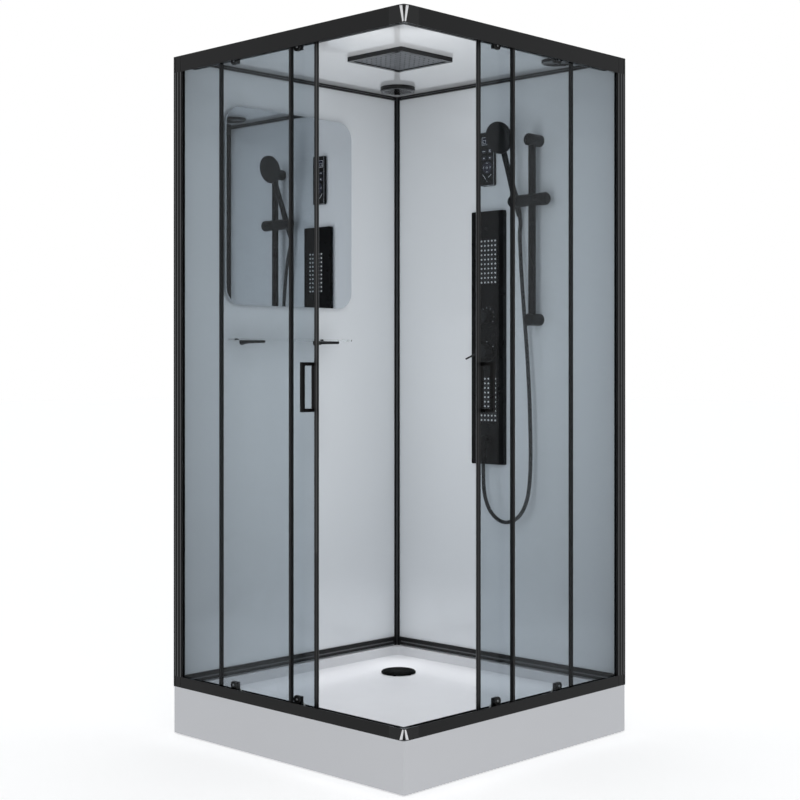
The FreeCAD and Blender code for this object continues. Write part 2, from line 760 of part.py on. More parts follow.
def make_door(front):
    name = front.name
    node(name + "_door_glass", door_pane(front))
    node(name + "_leading_profile", leading_profile(front))
    node(name + "_trailing_profile", trailing_profile(front))
    node(name + "_handle", door_handle(front))
    places = []
    for end, u in (("leading", front.tip - carriage_lead), ("trailing", front.tail + carriage_trail)):
        places.append((end + "_top_wheel", u, top_axle, top_axle - cap_shift))
        places.append((end + "_bottom_wheel", u, low_axle, low_axle + cap_shift))
    blocks = [carriage(front, u, axle, cap) for label, u, axle, cap in places]
    node(name + "_carriages", group(name + "_carriage_group", *blocks))
    for label, u, axle, cap in places:
        node(name + "_" + label, wheel(front, u, axle, name + "_" + label))


# ---------------------------------------------------------------- tray

def make_tray():
    body = new_body("tray_body")
    height = skirt_height - skirt_clear
    pad(body, "XY", [rectangle(west, south, east, north, 6)], height, skirt_clear)
    inner = (west + skirt_wall, south + skirt_wall, east - skirt_wall, north - skirt_wall)
    hollow = tray_floor - tray_shell - skirt_clear
    pocket(body, "XY", [rectangle(*inner)], hollow, skirt_clear, True)
    under_rim = skirt_height - tray_shell - skirt_clear
    edge = rim_width - tray_shell
    back = rim_back - tray_shell
    basin_outside = rectangle(west + back, south + edge, east - edge, north - back, basin_corner)
    pocket(body, "XY", [rectangle(*inner), basin_outside], under_rim, skirt_clear, True)
    basin = rectangle(west + rim_back, south + rim_width, east - rim_width, north - rim_back,
                      basin_corner - tray_shell)
    hole = pocket(body, "XY", [basin], basin_depth, skirt_height, False)
    hole.TaperAngle = -15
    pocket(body, "XY", [], tray_shell + 1, tray_floor, False,
           [(-drain_offset, drain_offset, drain_radius)])
    notch = rectangle(-drain_offset - waste_notch, 0, waste_notch - drain_offset,
                      spigot_height + waste_notch)
    pocket(body, "XZ", [notch], skirt_wall + 2, north - skirt_wall - 1, True)
    node("tray", body)


def tube(label, corner, lengths, axis):
    blank = box(label, corner, lengths)
    inner_corner = [amount + tube_wall for amount in corner]
    inner_lengths = [amount - 2 * tube_wall for amount in lengths]
    inner_corner[axis] = corner[axis]
    inner_lengths[axis] = lengths[axis]
    return cut(label, blank, box(label, inner_corner, inner_lengths))


def make_underframe():
    """Five square tubes welded under the tray floor, and five screw feet below them."""
    top = tray_floor - tray_shell
    low = top - tube_size
    tubes = []
    overhang = foot_reach + 40
    for y in (-foot_reach, as_size(0), foot_reach):
        corner = (-overhang, y - tube_size / 2, low)
        tubes.append(tube("cross_tube", corner, (2 * overhang, tube_size, tube_size), 0))
    gap = foot_reach - tube_size
    for x in (-foot_reach, foot_reach):
        for y in (-foot_reach + tube_size / 2, tube_size / 2):
            corner = (x - tube_size / 2, y, low)
            tubes.append(tube("long_tube", corner, (tube_size, gap, tube_size), 1))
    node("tray_frame", group("tray_frame_group", *tubes))
    feet = []
    for x, y in ((-1, -1), (1, -1), (-1, 1), (1, 1), (0, 0)):
        feet.append(levelling_foot(x * foot_reach, y * foot_reach, low))
    node("levelling_feet", group("feet_group", *feet))


def levelling_foot(x, y, top):
    """A pad with a swelling boss, a threaded stud and a lock nut under the frame."""
    stud = 5
    points = [
        (0, 0), (foot_radius, 0), (foot_radius, 5), (foot_radius - 6, 9), (9, 11), (9, 16), (stud, 16),
        (stud, top - 8), (9, top - 8), (9, top), (0, top)]
    return turned("levelling_foot", points, (x, y, 0))


def make_drain():
    top = tray_floor - tray_shell
    cup = drain_radius + 8
    middle = top - drain_depth
    shell = [
        (0, middle), (cup, middle), (cup, top), (drain_radius - 3, top), (drain_radius - 3, middle + 4),
        (0, middle + 4)]
    body = turned("drain_cup", shell, (-drain_offset, drain_offset, 0))
    inside = (-drain_offset, drain_offset + cup - 15, spigot_height)
    shoulder = rod("drain_shoulder", inside, "+y", spigot_radius + 4, 20)
    spigot = rod("drain_spigot", inside, "+y", spigot_radius, 20 + spigot_length)
    bore = rod("drain_bore", inside, "+y", spigot_radius - 3, 30 + spigot_length)
    node("drain_body", cut("drain_solid", fuse("drain_shape", body, shoulder, spigot), bore))
    make_drain_cover()


def make_drain_cover():
    """A domed cap on six short feet that keep a slot open round its rim."""
    body = new_body("cover_body")
    base = tray_floor + 3
    top = tray_floor + cover_height
    inner = cover_radius - 4
    revolve(body, [
        (0, base + 3), (inner, base + 3), (inner, base), (cover_radius, base), (cover_radius, base + 3),
        (cover_radius - 3, top - 2), (cover_radius - 12, top), (0, top)])
    sketch = new_sketch(body, "XY", tray_floor + fit_gap)
    middle = cover_radius - 6
    outline(sketch, rectangle(middle - 4, -4, middle + 4, 4))
    foot = body.newObject("PartDesign::Pad", "cover_foot")
    foot.Profile = sketch
    bind(foot, "Length", base + 3.5 - tray_floor - fit_gap)
    pattern_round(body, foot, 6)
    place(body, (-drain_offset, drain_offset, 0))
    node("drain_cover", body)


# ---------------------------------------------------------------- walls and ceiling

def make_frame():
    node("top_rails", group("top_rail_pair", *[top_rail(front) for front in fronts]))
    node("bottom_rails", group("bottom_rail_pair", *[bottom_rail(front) for front in fronts]))
    upper = corner_joint("upper_corner", frame_height - top_rail_height, top_rail_height, True)
    lower = corner_joint("lower_corner", skirt_height, bottom_rail_height, False)
    node("corner_joints", group("corner_pair", upper, lower))
    node("wall_posts", group("post_pair", *[wall_post(front) for front in fronts]))
    node("fixed_glass", group("fixed_pair", *[fixed_pane(front) for front in fronts]))
    node("fixed_edge_profiles", group("edge_pair", *[fixed_edge(front) for front in fronts]))


def make_back_corner():
    low = slot_low(pane_inset)
    high = slot_high(pane_inset)
    leg = corner_leg
    half = [(leg, 0), (leg, low), (post_leg, low), (post_leg, high), (leg, high), (leg, post_leg),
            (post_leg, post_leg)]
    other = [(q, p) for p, q in reversed(half[:-1])]
    points = [(0, 0)] + half + other
    far = post_leg - post_wall
    hollow = rectangle(post_wall, post_wall, far, far)
    plans = [[(west + p, north - q) for p, q in loop] for loop in (points, hollow)]
    body = extrusion("corner_post_body", "XY", plans, (0, 0, skirt_height), ceiling - skirt_height)
    node("back_corner_post", body)


def make_walls():
    inner_end = post_leg + fit_gap
    near = post_side - wall_slot + fit_gap
    height = ceiling - skirt_height
    length = cabin_depth - near - inner_end
    west_wall = box("west_wall", (west + pane_inset, south + near, skirt_height),
                    (glass_thickness, length, height))
    width = cabin_width - near - inner_end
    north_wall = box("north_wall", (west + inner_end, wall_north, skirt_height),
                     (width, glass_thickness, height))
    holes = [wall_hole("spindle_hole", panel_middle, upper_knob, 12),
             wall_hole("spindle_hole", panel_middle, lower_knob, 12),
             wall_hole("outlet_hole", panel_middle, outlet_height, 10)]
    node("wall_panels", group("panel_pair", west_wall, cut("north_wall_cut", north_wall, *holes)))
    trims = []
    run_y = cabin_depth - post_side - corner_leg
    run_x = cabin_width - post_side - corner_leg
    for label, low, tall in (("upper", ceiling - top_trim_height, top_trim_height),
                             ("lower", skirt_height + low_trim_lift, low_trim_height)):
        trims.append(wall_trim(label + "_trim_west", wall_west, south + post_side, low, run_y, tall, True))
        trims.append(wall_trim(label + "_trim_north", west + corner_leg, wall_north, low, run_x, tall,
                               False))
    node("wall_trims", group("trim_group", *trims))


def wall_hole(label, x, z, radius):
    return rod(label, (x, wall_north - 1, z), "+y", radius, glass_thickness + 2)


def wall_trim(label, x, y, low, length, tall, on_west):
    """A trim strip with a bevelled edge, run along one wall."""
    bevel = 3
    thick = trim_thickness
    section = [(0, low), (thick, low), (thick, low + tall - bevel), (thick - bevel, low + tall),
               (0, low + tall)]
    if on_west:
        points = [(x + depth, z) for depth, z in section]
        return extrusion(label, "XZ", [points], (0, y, 0), length)
    points = [(y - depth, z) for depth, z in section]
    return extrusion(label, "YZ", [points], (x, 0, 0), length)


rain_rows = 9
rain_x = rain_shift
rain_y = -rain_shift
fan_x = -fan_offset
fan_y = fan_offset


def make_ceiling():
    """The panel rests on the rails, posts and wall panels, and carries what hangs from it."""
    body = new_body("ceiling_body")
    plan = rectangle(west + pane_inset, south + ceiling_edge, east - ceiling_edge, north - pane_inset, 4)
    holes = [(fan_x, fan_y, fan_radius - 12), (speaker_side, speaker_back, speaker_radius - 14),
             (rain_x, rain_y, 16)]
    pad(body, "XY", [plan], ceiling_thickness, ceiling, holes)
    node("ceiling_panel", body)
    make_rain_head()
    make_fan()
    make_speaker()


def make_rain_head():
    """A thin square plate with a raised rim, a recessed spray face and a threaded neck."""
    body = new_body("rain_body")
    half = rain_side / 2
    low = ceiling - rain_thickness
    square = rectangle(rain_x - half, rain_y - half, rain_x + half, rain_y + half, 6)
    pad(body, "XY", [square], rain_thickness - fit_gap, low)
    rim = half - 14
    face = rectangle(rain_x - rim, rain_y - rim, rain_x + rim, rain_y + rim, 3)
    pocket(body, "XY", [face], 3, low, True)
    pad(body, "XY", [], roof_top + 4 - ceiling + 2, ceiling - 2, [(rain_x, rain_y, 14)])
    reach = rain_pitch * (rain_rows - 1)
    nozzle = pad(body, "XY", [], 2.4, low + 1, [(rain_x - reach / 2, rain_y - reach / 2, 2)])
    repeated(body, nozzle, [("X_Axis", reach, rain_rows), ("Y_Axis", reach, rain_rows)])
    node("rain_head", body)


def make_fan():
    """Ceiling grille with slots, a housing on the roof and a rotor on its motor's boss."""
    hole = fan_radius - 12
    grille = new_body("fan_grille_body")
    revolve(grille, [(0, -16), (fan_radius - 6, -16), (fan_radius, -12), (fan_radius, -fit_gap),
                     (fan_radius - 4, -fit_gap), (fan_radius - 6, -13), (0, -13)])
    slots = []
    for row in range(-3, 4):
        reach = (fan_radius - 10).value ** 2 - (12 * row) ** 2
        half = round(math.sqrt(reach) - 4, 1)
        slots.append(rectangle(-half, 12 * row - 3, half, 12 * row + 3))
    pocket(grille, "XY", slots, 5, -17, True)
    place(grille, (fan_x, fan_y, ceiling))
    wall = 2
    outer = hole + 8
    top = 36
    housing = turned("fan_can", [
        (0, top - wall), (hole, top - wall), (hole, fit_gap), (outer + 8, fit_gap), (outer + 8, 3),
        (hole + wall, 3), (hole + wall, top), (0, top)], (fan_x, fan_y, roof_top))
    motor = rod("fan_motor", (fan_x, fan_y, roof_top + 19), "+z", 14, top - wall - 19)
    pin = rod("fan_pin", (fan_x, fan_y, roof_top + 2), "+z", 2, 20)
    shell = fuse("fan_shell", housing, motor, pin)
    node("fan_housing", group("fan_group", shell, grille))
    rotor = new_body("rotor_body")
    revolve(rotor, [(2.05, 4), (12, 4), (12, 18), (2.05, 18)])
    sketch = new_sketch(rotor, "XY", as_size(6))
    reach = hole - 4
    outline(sketch, [(11, -1), (reach, 9), (reach, 11), (11, 1)])
    blade = rotor.newObject("PartDesign::Pad", "blade")
    blade.Profile = sketch
    blade.Length = 10
    pattern_round(rotor, blade, 7)
    place(rotor, (fan_x, fan_y, roof_top))
    node("fan_rotor", rotor)


def make_speaker():
    """A round speaker: bezel and dished grille below the ceiling, magnet pot above it."""
    edge = speaker_radius
    pot = edge - 15
    body = new_body("speaker_body")
    revolve(body, [
        (0, -6), (edge - 12, -6), (edge - 7, -10), (edge - 3, -10), (edge, -7), (edge, -fit_gap),
        (pot, -fit_gap), (pot, 16), (pot - 10, 22), (pot - 10, 30), (0, 30)])
    sketch = new_sketch(body, "XY", as_size(-11))
    for step in range(3):
        ring(sketch, 10 + 8 * step, 0, 2.2)
    holes = body.newObject("PartDesign::Pocket", "speaker_holes")
    holes.Profile = sketch
    holes.Reversed = True
    holes.Length = 7
    pattern_round(body, holes, 8)
    place(body, (speaker_side, speaker_back, ceiling))
    node("speaker", body)


# ---------------------------------------------------------------- shower column

panel_face = wall_north - panel_thickness


def make_shower_panel():
    """The long housing with the rings behind its knobs, and two mats of soft jets on its face."""
    body = new_body("panel_body")
    half = panel_width / 2
    plan = rectangle(panel_middle - half, panel_low, panel_middle + half, panel_low + panel_height, 4)
    pad(body, "XZ", [plan], panel_thickness - fit_gap, panel_face)
    rings = [(panel_middle, height, rosette_radius) for height in (upper_knob, lower_knob)]
    pad(body, "XZ", [], 5, panel_face - 4, rings)
    holes = [(panel_middle, height, spindle_radius + 3) for height in (upper_knob, lower_knob)]
    holes.append((panel_middle, outlet_height, 10))
    pocket(body, "XZ", [], panel_thickness + 6, panel_face - 5, True, holes)
    node("shower_panel", body)
    mats = [jet_mat("upper_mat", upper_jets), jet_mat("lower_mat", lower_jets)]
    node("jet_nozzles", group("jet_group", *mats))


def jet_mat(label, lowest):
    """Five by ten soft jets standing on a thin mat: six-sided studs, in two patterns."""
    columns = 5
    lines = 10
    body = new_body(label)
    half = jet_pitch * (columns - 1) / 2
    mat = rectangle(-half - 5, -5, half + 5, (lines - 1) * jet_rise + 5, 3)
    pad(body, "XZ", [mat], 0.7, -0.7)
    sketch = new_sketch(body, "XZ", as_size(0.6))
    points = []
    for step in range(6):
        angle = math.radians(60 * step)
        points.append((jet_radius * round(math.cos(angle), 4) - half, jet_radius * round(math.sin(angle), 4)))
    outline(sketch, points)
    stud = body.newObject("PartDesign::Pad", label + "_stud")
    stud.Profile = sketch
    stud.Length = 1.9
    repeated(body, stud, [("X_Axis", jet_pitch * (columns - 1), columns),
                          ("Z_Axis", jet_rise * (lines - 1), lines)])
    return place(body, (panel_middle + jets_shift, panel_face, lowest))


def knob(label, height, with_lever):
    """A round knob with a dished face and finger flutes, turning on the valve's spindle."""
    body = new_body(label)
    back = 4.5
    front_end = back + knob_depth
    bore = spindle_radius + 0.05
    revolve(body, [
        (bore, back), (knob_radius - 2, back), (knob_radius, back + 3), (knob_radius, front_end - 3),
        (knob_radius - 2, front_end), (knob_radius - 6, front_end), (knob_radius - 8, front_end - 1),
        (0, front_end - 1), (0, back + 20), (bore, back + 20)])
    sketch = new_sketch(body, "XY", back + 8)
    ring(sketch, knob_radius + 1, 0, 2.5)
    flute = body.newObject("PartDesign::Pocket", label + "_flute")
    flute.Profile = sketch
    flute.Reversed = True
    bind(flute, "Length", knob_depth - 8 + 1)
    pattern_round(body, flute, 12)
    place(body, (panel_middle, panel_face, height), "-y")
    if not with_lever:
        return body
    lever_depth = back + knob_depth - 8
    slope = math.radians(21)
    across = math.cos(slope)
    down = math.sin(slope)
    lever = doc.addObject("Part::Cylinder", label + "_lever")
    lever.Placement = Placement(Vector(), Rotation(Vector(0, 0, 1), Vector(-across, 0, -down)))
    inner = knob_radius - 6
    bind(lever, "Radius", 3)
    bind(lever, "Height", lever_length - inner)
    bind(lever, ".Placement.Base.x", panel_middle - inner * round(across, 5))
    bind(lever, ".Placement.Base.y", panel_face - lever_depth)
    bind(lever, ".Placement.Base.z", height - inner * round(down, 5))
    return fuse(label + "_solid", body, lever)


def hose_outlet():
    """An elbow out of the panel with a coupling nut that points down."""
    axis_y = panel_face - outlet_reach
    flange = rod("outlet_flange", (panel_middle, panel_face - 4, outlet_height), "+y", 18, 4)
    neck = rod("outlet_neck", (panel_middle, axis_y, outlet_height), "+y", 9,
               outlet_reach + panel_thickness + glass_thickness)
    start = (panel_middle, axis_y, 0)
    drop = turned("outlet_drop", [
        (0, outlet_end), (9, outlet_end), (10.5, outlet_end + 22), (12, outlet_end + 24),
        (12, outlet_end + 46), (10, outlet_end + 48), (10, outlet_height + 8), (7, outlet_height + 12),
        (0, outlet_height + 12)], start)
    return fuse("outlet_solid", flange, neck, drop)


bar_y = wall_north - bar_out
slider_end = slider_left + holder_length


def make_slide_bar():
    bar = rod("bar", (bar_x, bar_y, bar_low), "+z", bar_radius, bar_high - bar_low)
    brackets = []
    for height in (bar_low, bar_high):
        points = [
            (0, 0), (bracket_radius, 0), (bracket_radius, bracket_length - 4),
            (bracket_radius - 4, bracket_length), (0, bracket_length)]
        brackets.append(turned("bar_bracket", points, (bar_x, wall_north, height), "-y"))
    node("slide_bar", fuse("slide_bar_solid", bar, *brackets))
    start = slider_end + fit_gap
    barrel = rod("clamp_barrel", (start, bar_y, slider_height), "+x", slider_radius, clamp_length)
    bore = rod("clamp_bore", (bar_x, bar_y, slider_height - slider_radius - 1), "+z",
               bar_radius + 0.05, 2 * slider_radius + 2)
    pivot = rod("clamp_pivot", (start - 6, bar_y, slider_height), "+x", 4, 6.5)
    screw = rod("clamp_screw", (start + clamp_length - 0.5, bar_y, slider_height), "+x", 4, 15)
    node("slider_clamp", cut("clamp_solid", fuse("clamp_shape", barrel, pivot, screw), bore))
    edge = slider_radius
    knob_end = clamp_knob_length
    knob_points = [
        (4.05, 0), (edge - 1, 0), (edge, 2), (edge, knob_end - 6), (edge - 5, knob_end), (0, knob_end),
        (0, 15.5), (4.05, 15.5)]
    knob_start = (start + clamp_length + fit_gap, bar_y, slider_height)
    node("clamp_knob", turned("clamp_knob_body", knob_points, knob_start, "+x"))
    make_holder()


cone_low = 10.3
cone_high = 11.6
lean = Rotation(Vector(1, 0, 0), handset_lean.value)


def lean_body(item, x):
    """Stand a body that is modelled upright on the slider's axis, leaning towards the user."""
    item.Placement = Placement(Vector(), lean)
    bind(item, ".Placement.Rotation.Angle", handset_lean)
    for letter, amount in zip("xyz", (x, bar_y, slider_height)):
        bind(item, ".Placement.Base." + letter, amount)
    return item


def make_holder():
    """The tilting holder: a barrel end with a tapered hole for the handset."""
    edge = slider_radius
    left_end = slider_left - slider_end
    barrel = turned("holder_barrel", [
        (0, left_end), (edge - 5, left_end), (edge, -holder_length + 6), (edge, 0), (4.05, 0),
        (4.05, -6.2), (0, -6.2)], (slider_end, bar_y, slider_height), "+x")
    hole_body = new_body("holder_hole_body")
    revolve(hole_body, [(0, -22), (cone_low + 0.26, -22), (cone_high + 0.34, 22), (0, 22)])
    lean_body(hole_body, handset_x)
    node("handset_holder", cut("holder_solid", barrel, hole_body))


nut_end = -50


def make_handset():
    """Tapered foot, slim handle and a round head whose face leans over."""
    body = new_body("handset_body")
    neck = handset_length - 30
    revolve(body, [
        (0, nut_end), (9, nut_end), (9.8, -28), (cone_low, -22), (cone_high, 22), (10.6, 40), (9.6, 120),
        (9.6, neck), (0, neck)])
    edge = head_radius
    revolve(body, [
        (0, 0), (edge - 7, 0), (edge - 5, 1.5), (edge - 1, 2), (edge, 6), (edge - 1, 12),
        (edge - 13, 20), (14, 26), (0, 26)],
        "YZ", turn=-90 - head_tilt.value, shift=(-14, handset_length))
    lean_body(body, handset_x)
    node("handset", body)


# ---------------------------------------------------------------- key pad

pad_face = wall_north - pad_thickness
key_columns = (-13, 13)
key_rows = (("upper", 117), ("lower", 94))
ring_height = 62
ring_radius = 20
centre_radius = 8


def make_key_pad():
    body = new_body("key_pad_body")
    half = pad_width / 2
    plan = rectangle(panel_middle - 5 - half, pad_low, panel_middle - 5 + half, pad_low + pad_height, 5)
    pad(body, "XZ", [plan], pad_thickness - fit_gap, pad_face)
    wells = []
    middle = panel_middle - 5
    for name, rise in key_rows:
        for column in key_columns:
            wells.append(key_plan(middle + column, pad_low + rise, fit_gap))
    floor = key_depth - key_rise + key_travel + 0.2
    circles = [(middle, pad_low + ring_height, ring_radius + fit_gap)]
    pocket(body, "XZ", wells, floor, pad_face, True, circles)
    window = rectangle(middle - 24, pad_low + 138, middle + 24, pad_low + 166, 2)
    pocket(body, "XZ", [window], 0.8, pad_face, True)
    node("key_pad", body)
    for name, rise in key_rows:
        for column, side in zip(key_columns, ("left", "right")):
            item = new_body("key_%s_%s" % (name, side))
            pad(item, "XZ", [key_plan(middle + column, pad_low + rise, 0)], key_depth,
                pad_face - key_rise)
            node("%s_%s_key" % (name, side), item)
    item = new_body("ring_key_body")
    pad(item, "XZ", [], key_depth, pad_face - key_rise,
        [(middle, pad_low + ring_height, ring_radius),
         (middle, pad_low + ring_height, centre_radius + fit_gap)])
    node("ring_key", item)
    item = new_body("centre_key_body")
    pad(item, "XZ", [], key_depth, pad_face - key_rise, [(middle, pad_low + ring_height, centre_radius)])
    node("centre_key", item)


def key_plan(x, z, growth):
    return rectangle(x - 9 - growth, z - 6 - growth, x + 9 + growth, z + 6 + growth, 2.5 + growth)


# ---------------------------------------------------------------- mirror and shelf

def make_mirror():
    body = new_body("mirror_body")
    low_y = mirror_start
    high_y = mirror_start + mirror_width
    top = mirror_low + mirror_height
    plan = rectangle(low_y, mirror_low, high_y, top, mirror_corner)
    pad(body, "YZ", [plan], glass_thickness, wall_west + mirror_stand)
    spacers = []
    for y in (low_y + 90, high_y - 90):
        for z in (mirror_low + 90, top - 90):
            spacers.append(rod("mirror_spacer", (wall_west, y, z), "+x", 15, mirror_stand))
    node("mirror", group("mirror_group", body, *spacers))


def make_shelf():
    low = shelf_height - shelf_glass
    pane = new_body("shelf_pane")
    start = wall_west + 6
    plan = rectangle(start, shelf_start, start + shelf_depth, shelf_start + shelf_length, 10)
    pad(pane, "XY", [plan], shelf_glass, low)
    node("shelf_glass", pane)
    arms = []
    for y in (shelf_start + bracket_start, shelf_start + shelf_length - bracket_end):
        plate = rod("shelf_plate", (wall_west, y, low - 4), "+x", bracket_plate, 5)
        thick = rod("shelf_arm", (wall_west + 4, y, low - 5.5), "+x", 5.49, 22)
        thin = cone("shelf_arm_end", (wall_west + 25, y, low - 4.5), "+x", 4.49, 4.4, bracket_arm)
        arms.append(fuse("shelf_bracket", plate, thick, thin))
    node("shelf_brackets", group("bracket_group", *arms))


# ---------------------------------------------------------------- supply behind the wall

def make_mixer():
    """Thermostatic valve, its spindles and inlets, the riser to the rain head and the hose feed."""
    back = wall_north + glass_thickness
    axis_y = back + supply_out
    low = lower_knob - valve_over
    high = upper_knob + valve_over
    half = valve_width / 2
    shell = box("valve_body", (panel_middle - half, back + fit_gap, low), (valve_width, valve_depth, high - low))
    pieces = [shell]
    reach = wall_north - panel_face + 18
    for height in (upper_knob, lower_knob):
        pieces.append(rod("spindle", (panel_middle, panel_face - 18, height), "+y", spindle_radius,
                          reach + glass_thickness + 2))
    inlet_height = (upper_knob + lower_knob) / 2
    for direction, x in (("-x", panel_middle - half), ("+x", panel_middle + half)):
        pieces.append(rod("inlet", (x, axis_y, inlet_height), direction, inlet_radius, inlet_length))
    valve = fuse("valve_solid", *pieces)
    pipe_top = roof_top + supply_radius + 4
    riser = rod("riser", (panel_middle, axis_y, high), "+z", supply_radius, pipe_top - high)
    turn = doc.addObject("Part::Sphere", "riser_turn")
    bind(turn, "Radius", supply_radius + 2)
    place(turn, (panel_middle, axis_y, pipe_top))
    feed = rod("hose_feed", (panel_middle, axis_y, outlet_height), "+z", supply_radius,
               low - outlet_height)
    tee = rod("hose_tee", (panel_middle, back, outlet_height), "+y", supply_radius + 2, supply_out + 10)
    node("mixer_valve", group("mixer_group", valve, fuse("hose_feed_solid", feed, tee)))
    run = rod("roof_run", (panel_middle, rain_y, pipe_top), "+y", supply_radius, axis_y - rain_y)
    side = rod("roof_side", (panel_middle, rain_y, pipe_top), "+x", supply_radius, rain_x - panel_middle)
    elbow = doc.addObject("Part::Sphere", "roof_elbow")
    bind(elbow, "Radius", supply_radius + 2)
    place(elbow, (panel_middle, rain_y, pipe_top))
    cap_low = roof_top + 4
    cap = rod("rain_union", (rain_x, rain_y, cap_low), "+z", 14, 2 * supply_radius + 6)
    node("riser_pipe", fuse("riser_solid", riser, turn, run, side, elbow, cap))


# ---------------------------------------------------------------- hose

def hose_route():
    """The shower hose from its outlet up to the handset, point by point."""
    lean_y = math.sin(math.radians(handset_lean.value))
    lean_z = math.cos(math.radians(handset_lean.value))
    x = panel_middle.value
    y = (panel_face - outlet_reach).value
    low = outlet_end.value
    up = handset_x.value
    bar = bar_x.value
    axis = bar_y.value
    high = slider_height.value
    end_y = axis - nut_end * lean_y
    end_z = high + nut_end * lean_z
    return [
        Vector(x, y, low),
        Vector(x, y, low - 42),
        Vector(x + 4, y, low - 108),
        Vector(x + 33, y - 1, low - 167),
        Vector(x + 91, y - 2, low - 198),
        Vector(x + 151, y - 2, low - 178),
        Vector(bar - 22, axis, low - 124),
        Vector(bar - 10, axis + 2, low - 50),
        Vector(bar - 8, axis + 3, low + 40),
        Vector(bar - 11, axis + 4, low + 140),
        Vector(bar - 17, axis + 5, low + 260),
        Vector(bar - 27, axis + 6, high - 486),
        Vector(up + 29, axis + 7, high - 361),
        Vector(up + 17, axis + 10, high - 251),
        Vector(up + 8, axis + 15, high - 161),
        Vector(up + 2, axis + 23, high - 100),
        Vector(up, end_y + 20 * lean_y, end_z - 20 * lean_z),
        Vector(up, end_y, end_z),
    ]


def rounded_path(points):
    """Straight runs joined by tangent arcs, each as large as its two runs allow."""
    edges = []
    start = points[0]
    radii = []
    for before, here, after in zip(points, points[1:], points[2:]):
        back = (before - here)
        ahead = (after - here)
        setback = 0.45 * min(back.Length, ahead.Length)
        back.normalize()
        ahead.normalize()
        turn = math.pi - back.getAngle(ahead)
        radii.append(setback / math.tan(turn / 2))
        arrive = here + back * setback
        leave = here + ahead * setback
        halfway = (back + ahead).normalize()
        radius = radii[-1]
        centre = here + halfway * math.hypot(radius, setback)
        middle = centre - halfway * radius
        edges.append(Part.LineSegment(start, arrive).toShape())
        edges.append(Part.Arc(arrive, middle, leave).toShape())
        start = leave
    edges.append(Part.LineSegment(start, points[-1]).toShape())
    return Part.Wire(edges), radii


def make_hose():
    points = hose_route()
    path, radii = rounded_path(points)
    direction = points[1] - points[0]
    section = Part.Wire([Part.makeCircle(hose_radius.value, points[0], direction)])
    solid = path.makePipeShell([section], True, False)
    expected = math.pi * hose_radius.value ** 2 * path.Length
    print("hose radii", [round(radius) for radius in radii])
    print("hose length %.0f, volume ratio %.4f" % (path.Length, solid.Volume / expected))
    item = doc.addObject("Part::Feature", "hose")
    item.Shape = solid
    node("shower_hose", item)


# ---------------------------------------------------------------- build, test and write

make_tray()
make_underframe()
make_drain()
make_frame()
make_back_corner()
make_walls()
make_ceiling()
for one_front in fronts:
    make_door(one_front)
make_shower_panel()
node("temperature_knob", knob("temperature_knob_body", upper_knob, False))
node("diverter_knob", knob("diverter_knob_body", lower_knob, True))
node("hose_outlet", hose_outlet())
make_slide_bar()
make_handset()
make_key_pad()
make_mirror()
make_shelf()
make_mixer()
make_hose()
doc.recompute()

for part_object in doc.Objects:
    if "Invalid" in part_object.State or "Error" in part_object.State:
        raise RuntimeError("%s could not be built: %s" % (part_object.Label, part_object.State))
for part_node in nodes:
    if part_node.Shape.isNull() or not part_node.Shape.isValid():
        raise RuntimeError("%s has no valid shape" % part_node.Label)
os.makedirs("parts", exist_ok=True)
for part_node in nodes:
    part_node.Shape.exportStep("parts/%s.step" % part_node.Label)
print(len(nodes), "sub-parts written")
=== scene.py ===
import bpy, bmesh, json, math
from mathutils import Vector, Matrix


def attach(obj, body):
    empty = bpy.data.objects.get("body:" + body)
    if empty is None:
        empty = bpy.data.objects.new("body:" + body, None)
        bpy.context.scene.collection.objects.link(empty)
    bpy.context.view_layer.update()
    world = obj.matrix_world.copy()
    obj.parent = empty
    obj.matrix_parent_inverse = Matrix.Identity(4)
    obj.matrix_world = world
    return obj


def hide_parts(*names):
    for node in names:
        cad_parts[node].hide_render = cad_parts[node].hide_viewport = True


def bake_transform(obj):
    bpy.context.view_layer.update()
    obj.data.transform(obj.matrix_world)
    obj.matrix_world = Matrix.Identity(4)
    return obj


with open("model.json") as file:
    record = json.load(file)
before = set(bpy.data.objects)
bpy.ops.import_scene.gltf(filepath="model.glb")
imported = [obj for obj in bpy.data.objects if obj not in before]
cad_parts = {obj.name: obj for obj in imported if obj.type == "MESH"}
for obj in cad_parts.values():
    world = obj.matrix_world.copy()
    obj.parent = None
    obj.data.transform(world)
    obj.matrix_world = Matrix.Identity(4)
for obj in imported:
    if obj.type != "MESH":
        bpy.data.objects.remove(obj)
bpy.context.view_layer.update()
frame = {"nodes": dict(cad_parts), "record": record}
nodes = frame["nodes"]
scene = bpy.context.scene

# ---------------------------------------------------------------- camera, at the photograph's angle
camera = bpy.data.objects.new("camera", bpy.data.cameras.new("camera"))
scene.collection.objects.link(camera)
camera.location = (3.2596, -3.3630, 1.1447)
camera.rotation_euler = (math.radians(90), 0, math.radians(44.106))
camera.data.lens = 67.31
camera.data.sensor_width = 36
camera.data.shift_y = -0.0414
scene.camera = camera


# ---------------------------------------------------------------- materials
def mixed_colour(tree, factor, first, second):
    """A colour between two others, each a socket or a plain colour."""
    mix = tree.nodes.new("ShaderNodeMix")
    mix.data_type = "RGBA"
    tree.links.new(factor, mix.inputs["Factor"])
    for key, colour in (("A", first), ("B", second)):
        if isinstance(colour, bpy.types.NodeSocket):
            tree.links.new(colour, mix.inputs[key])
        else:
            mix.inputs[key].default_value = (*colour, 1)
    return mix.outputs["Result"]


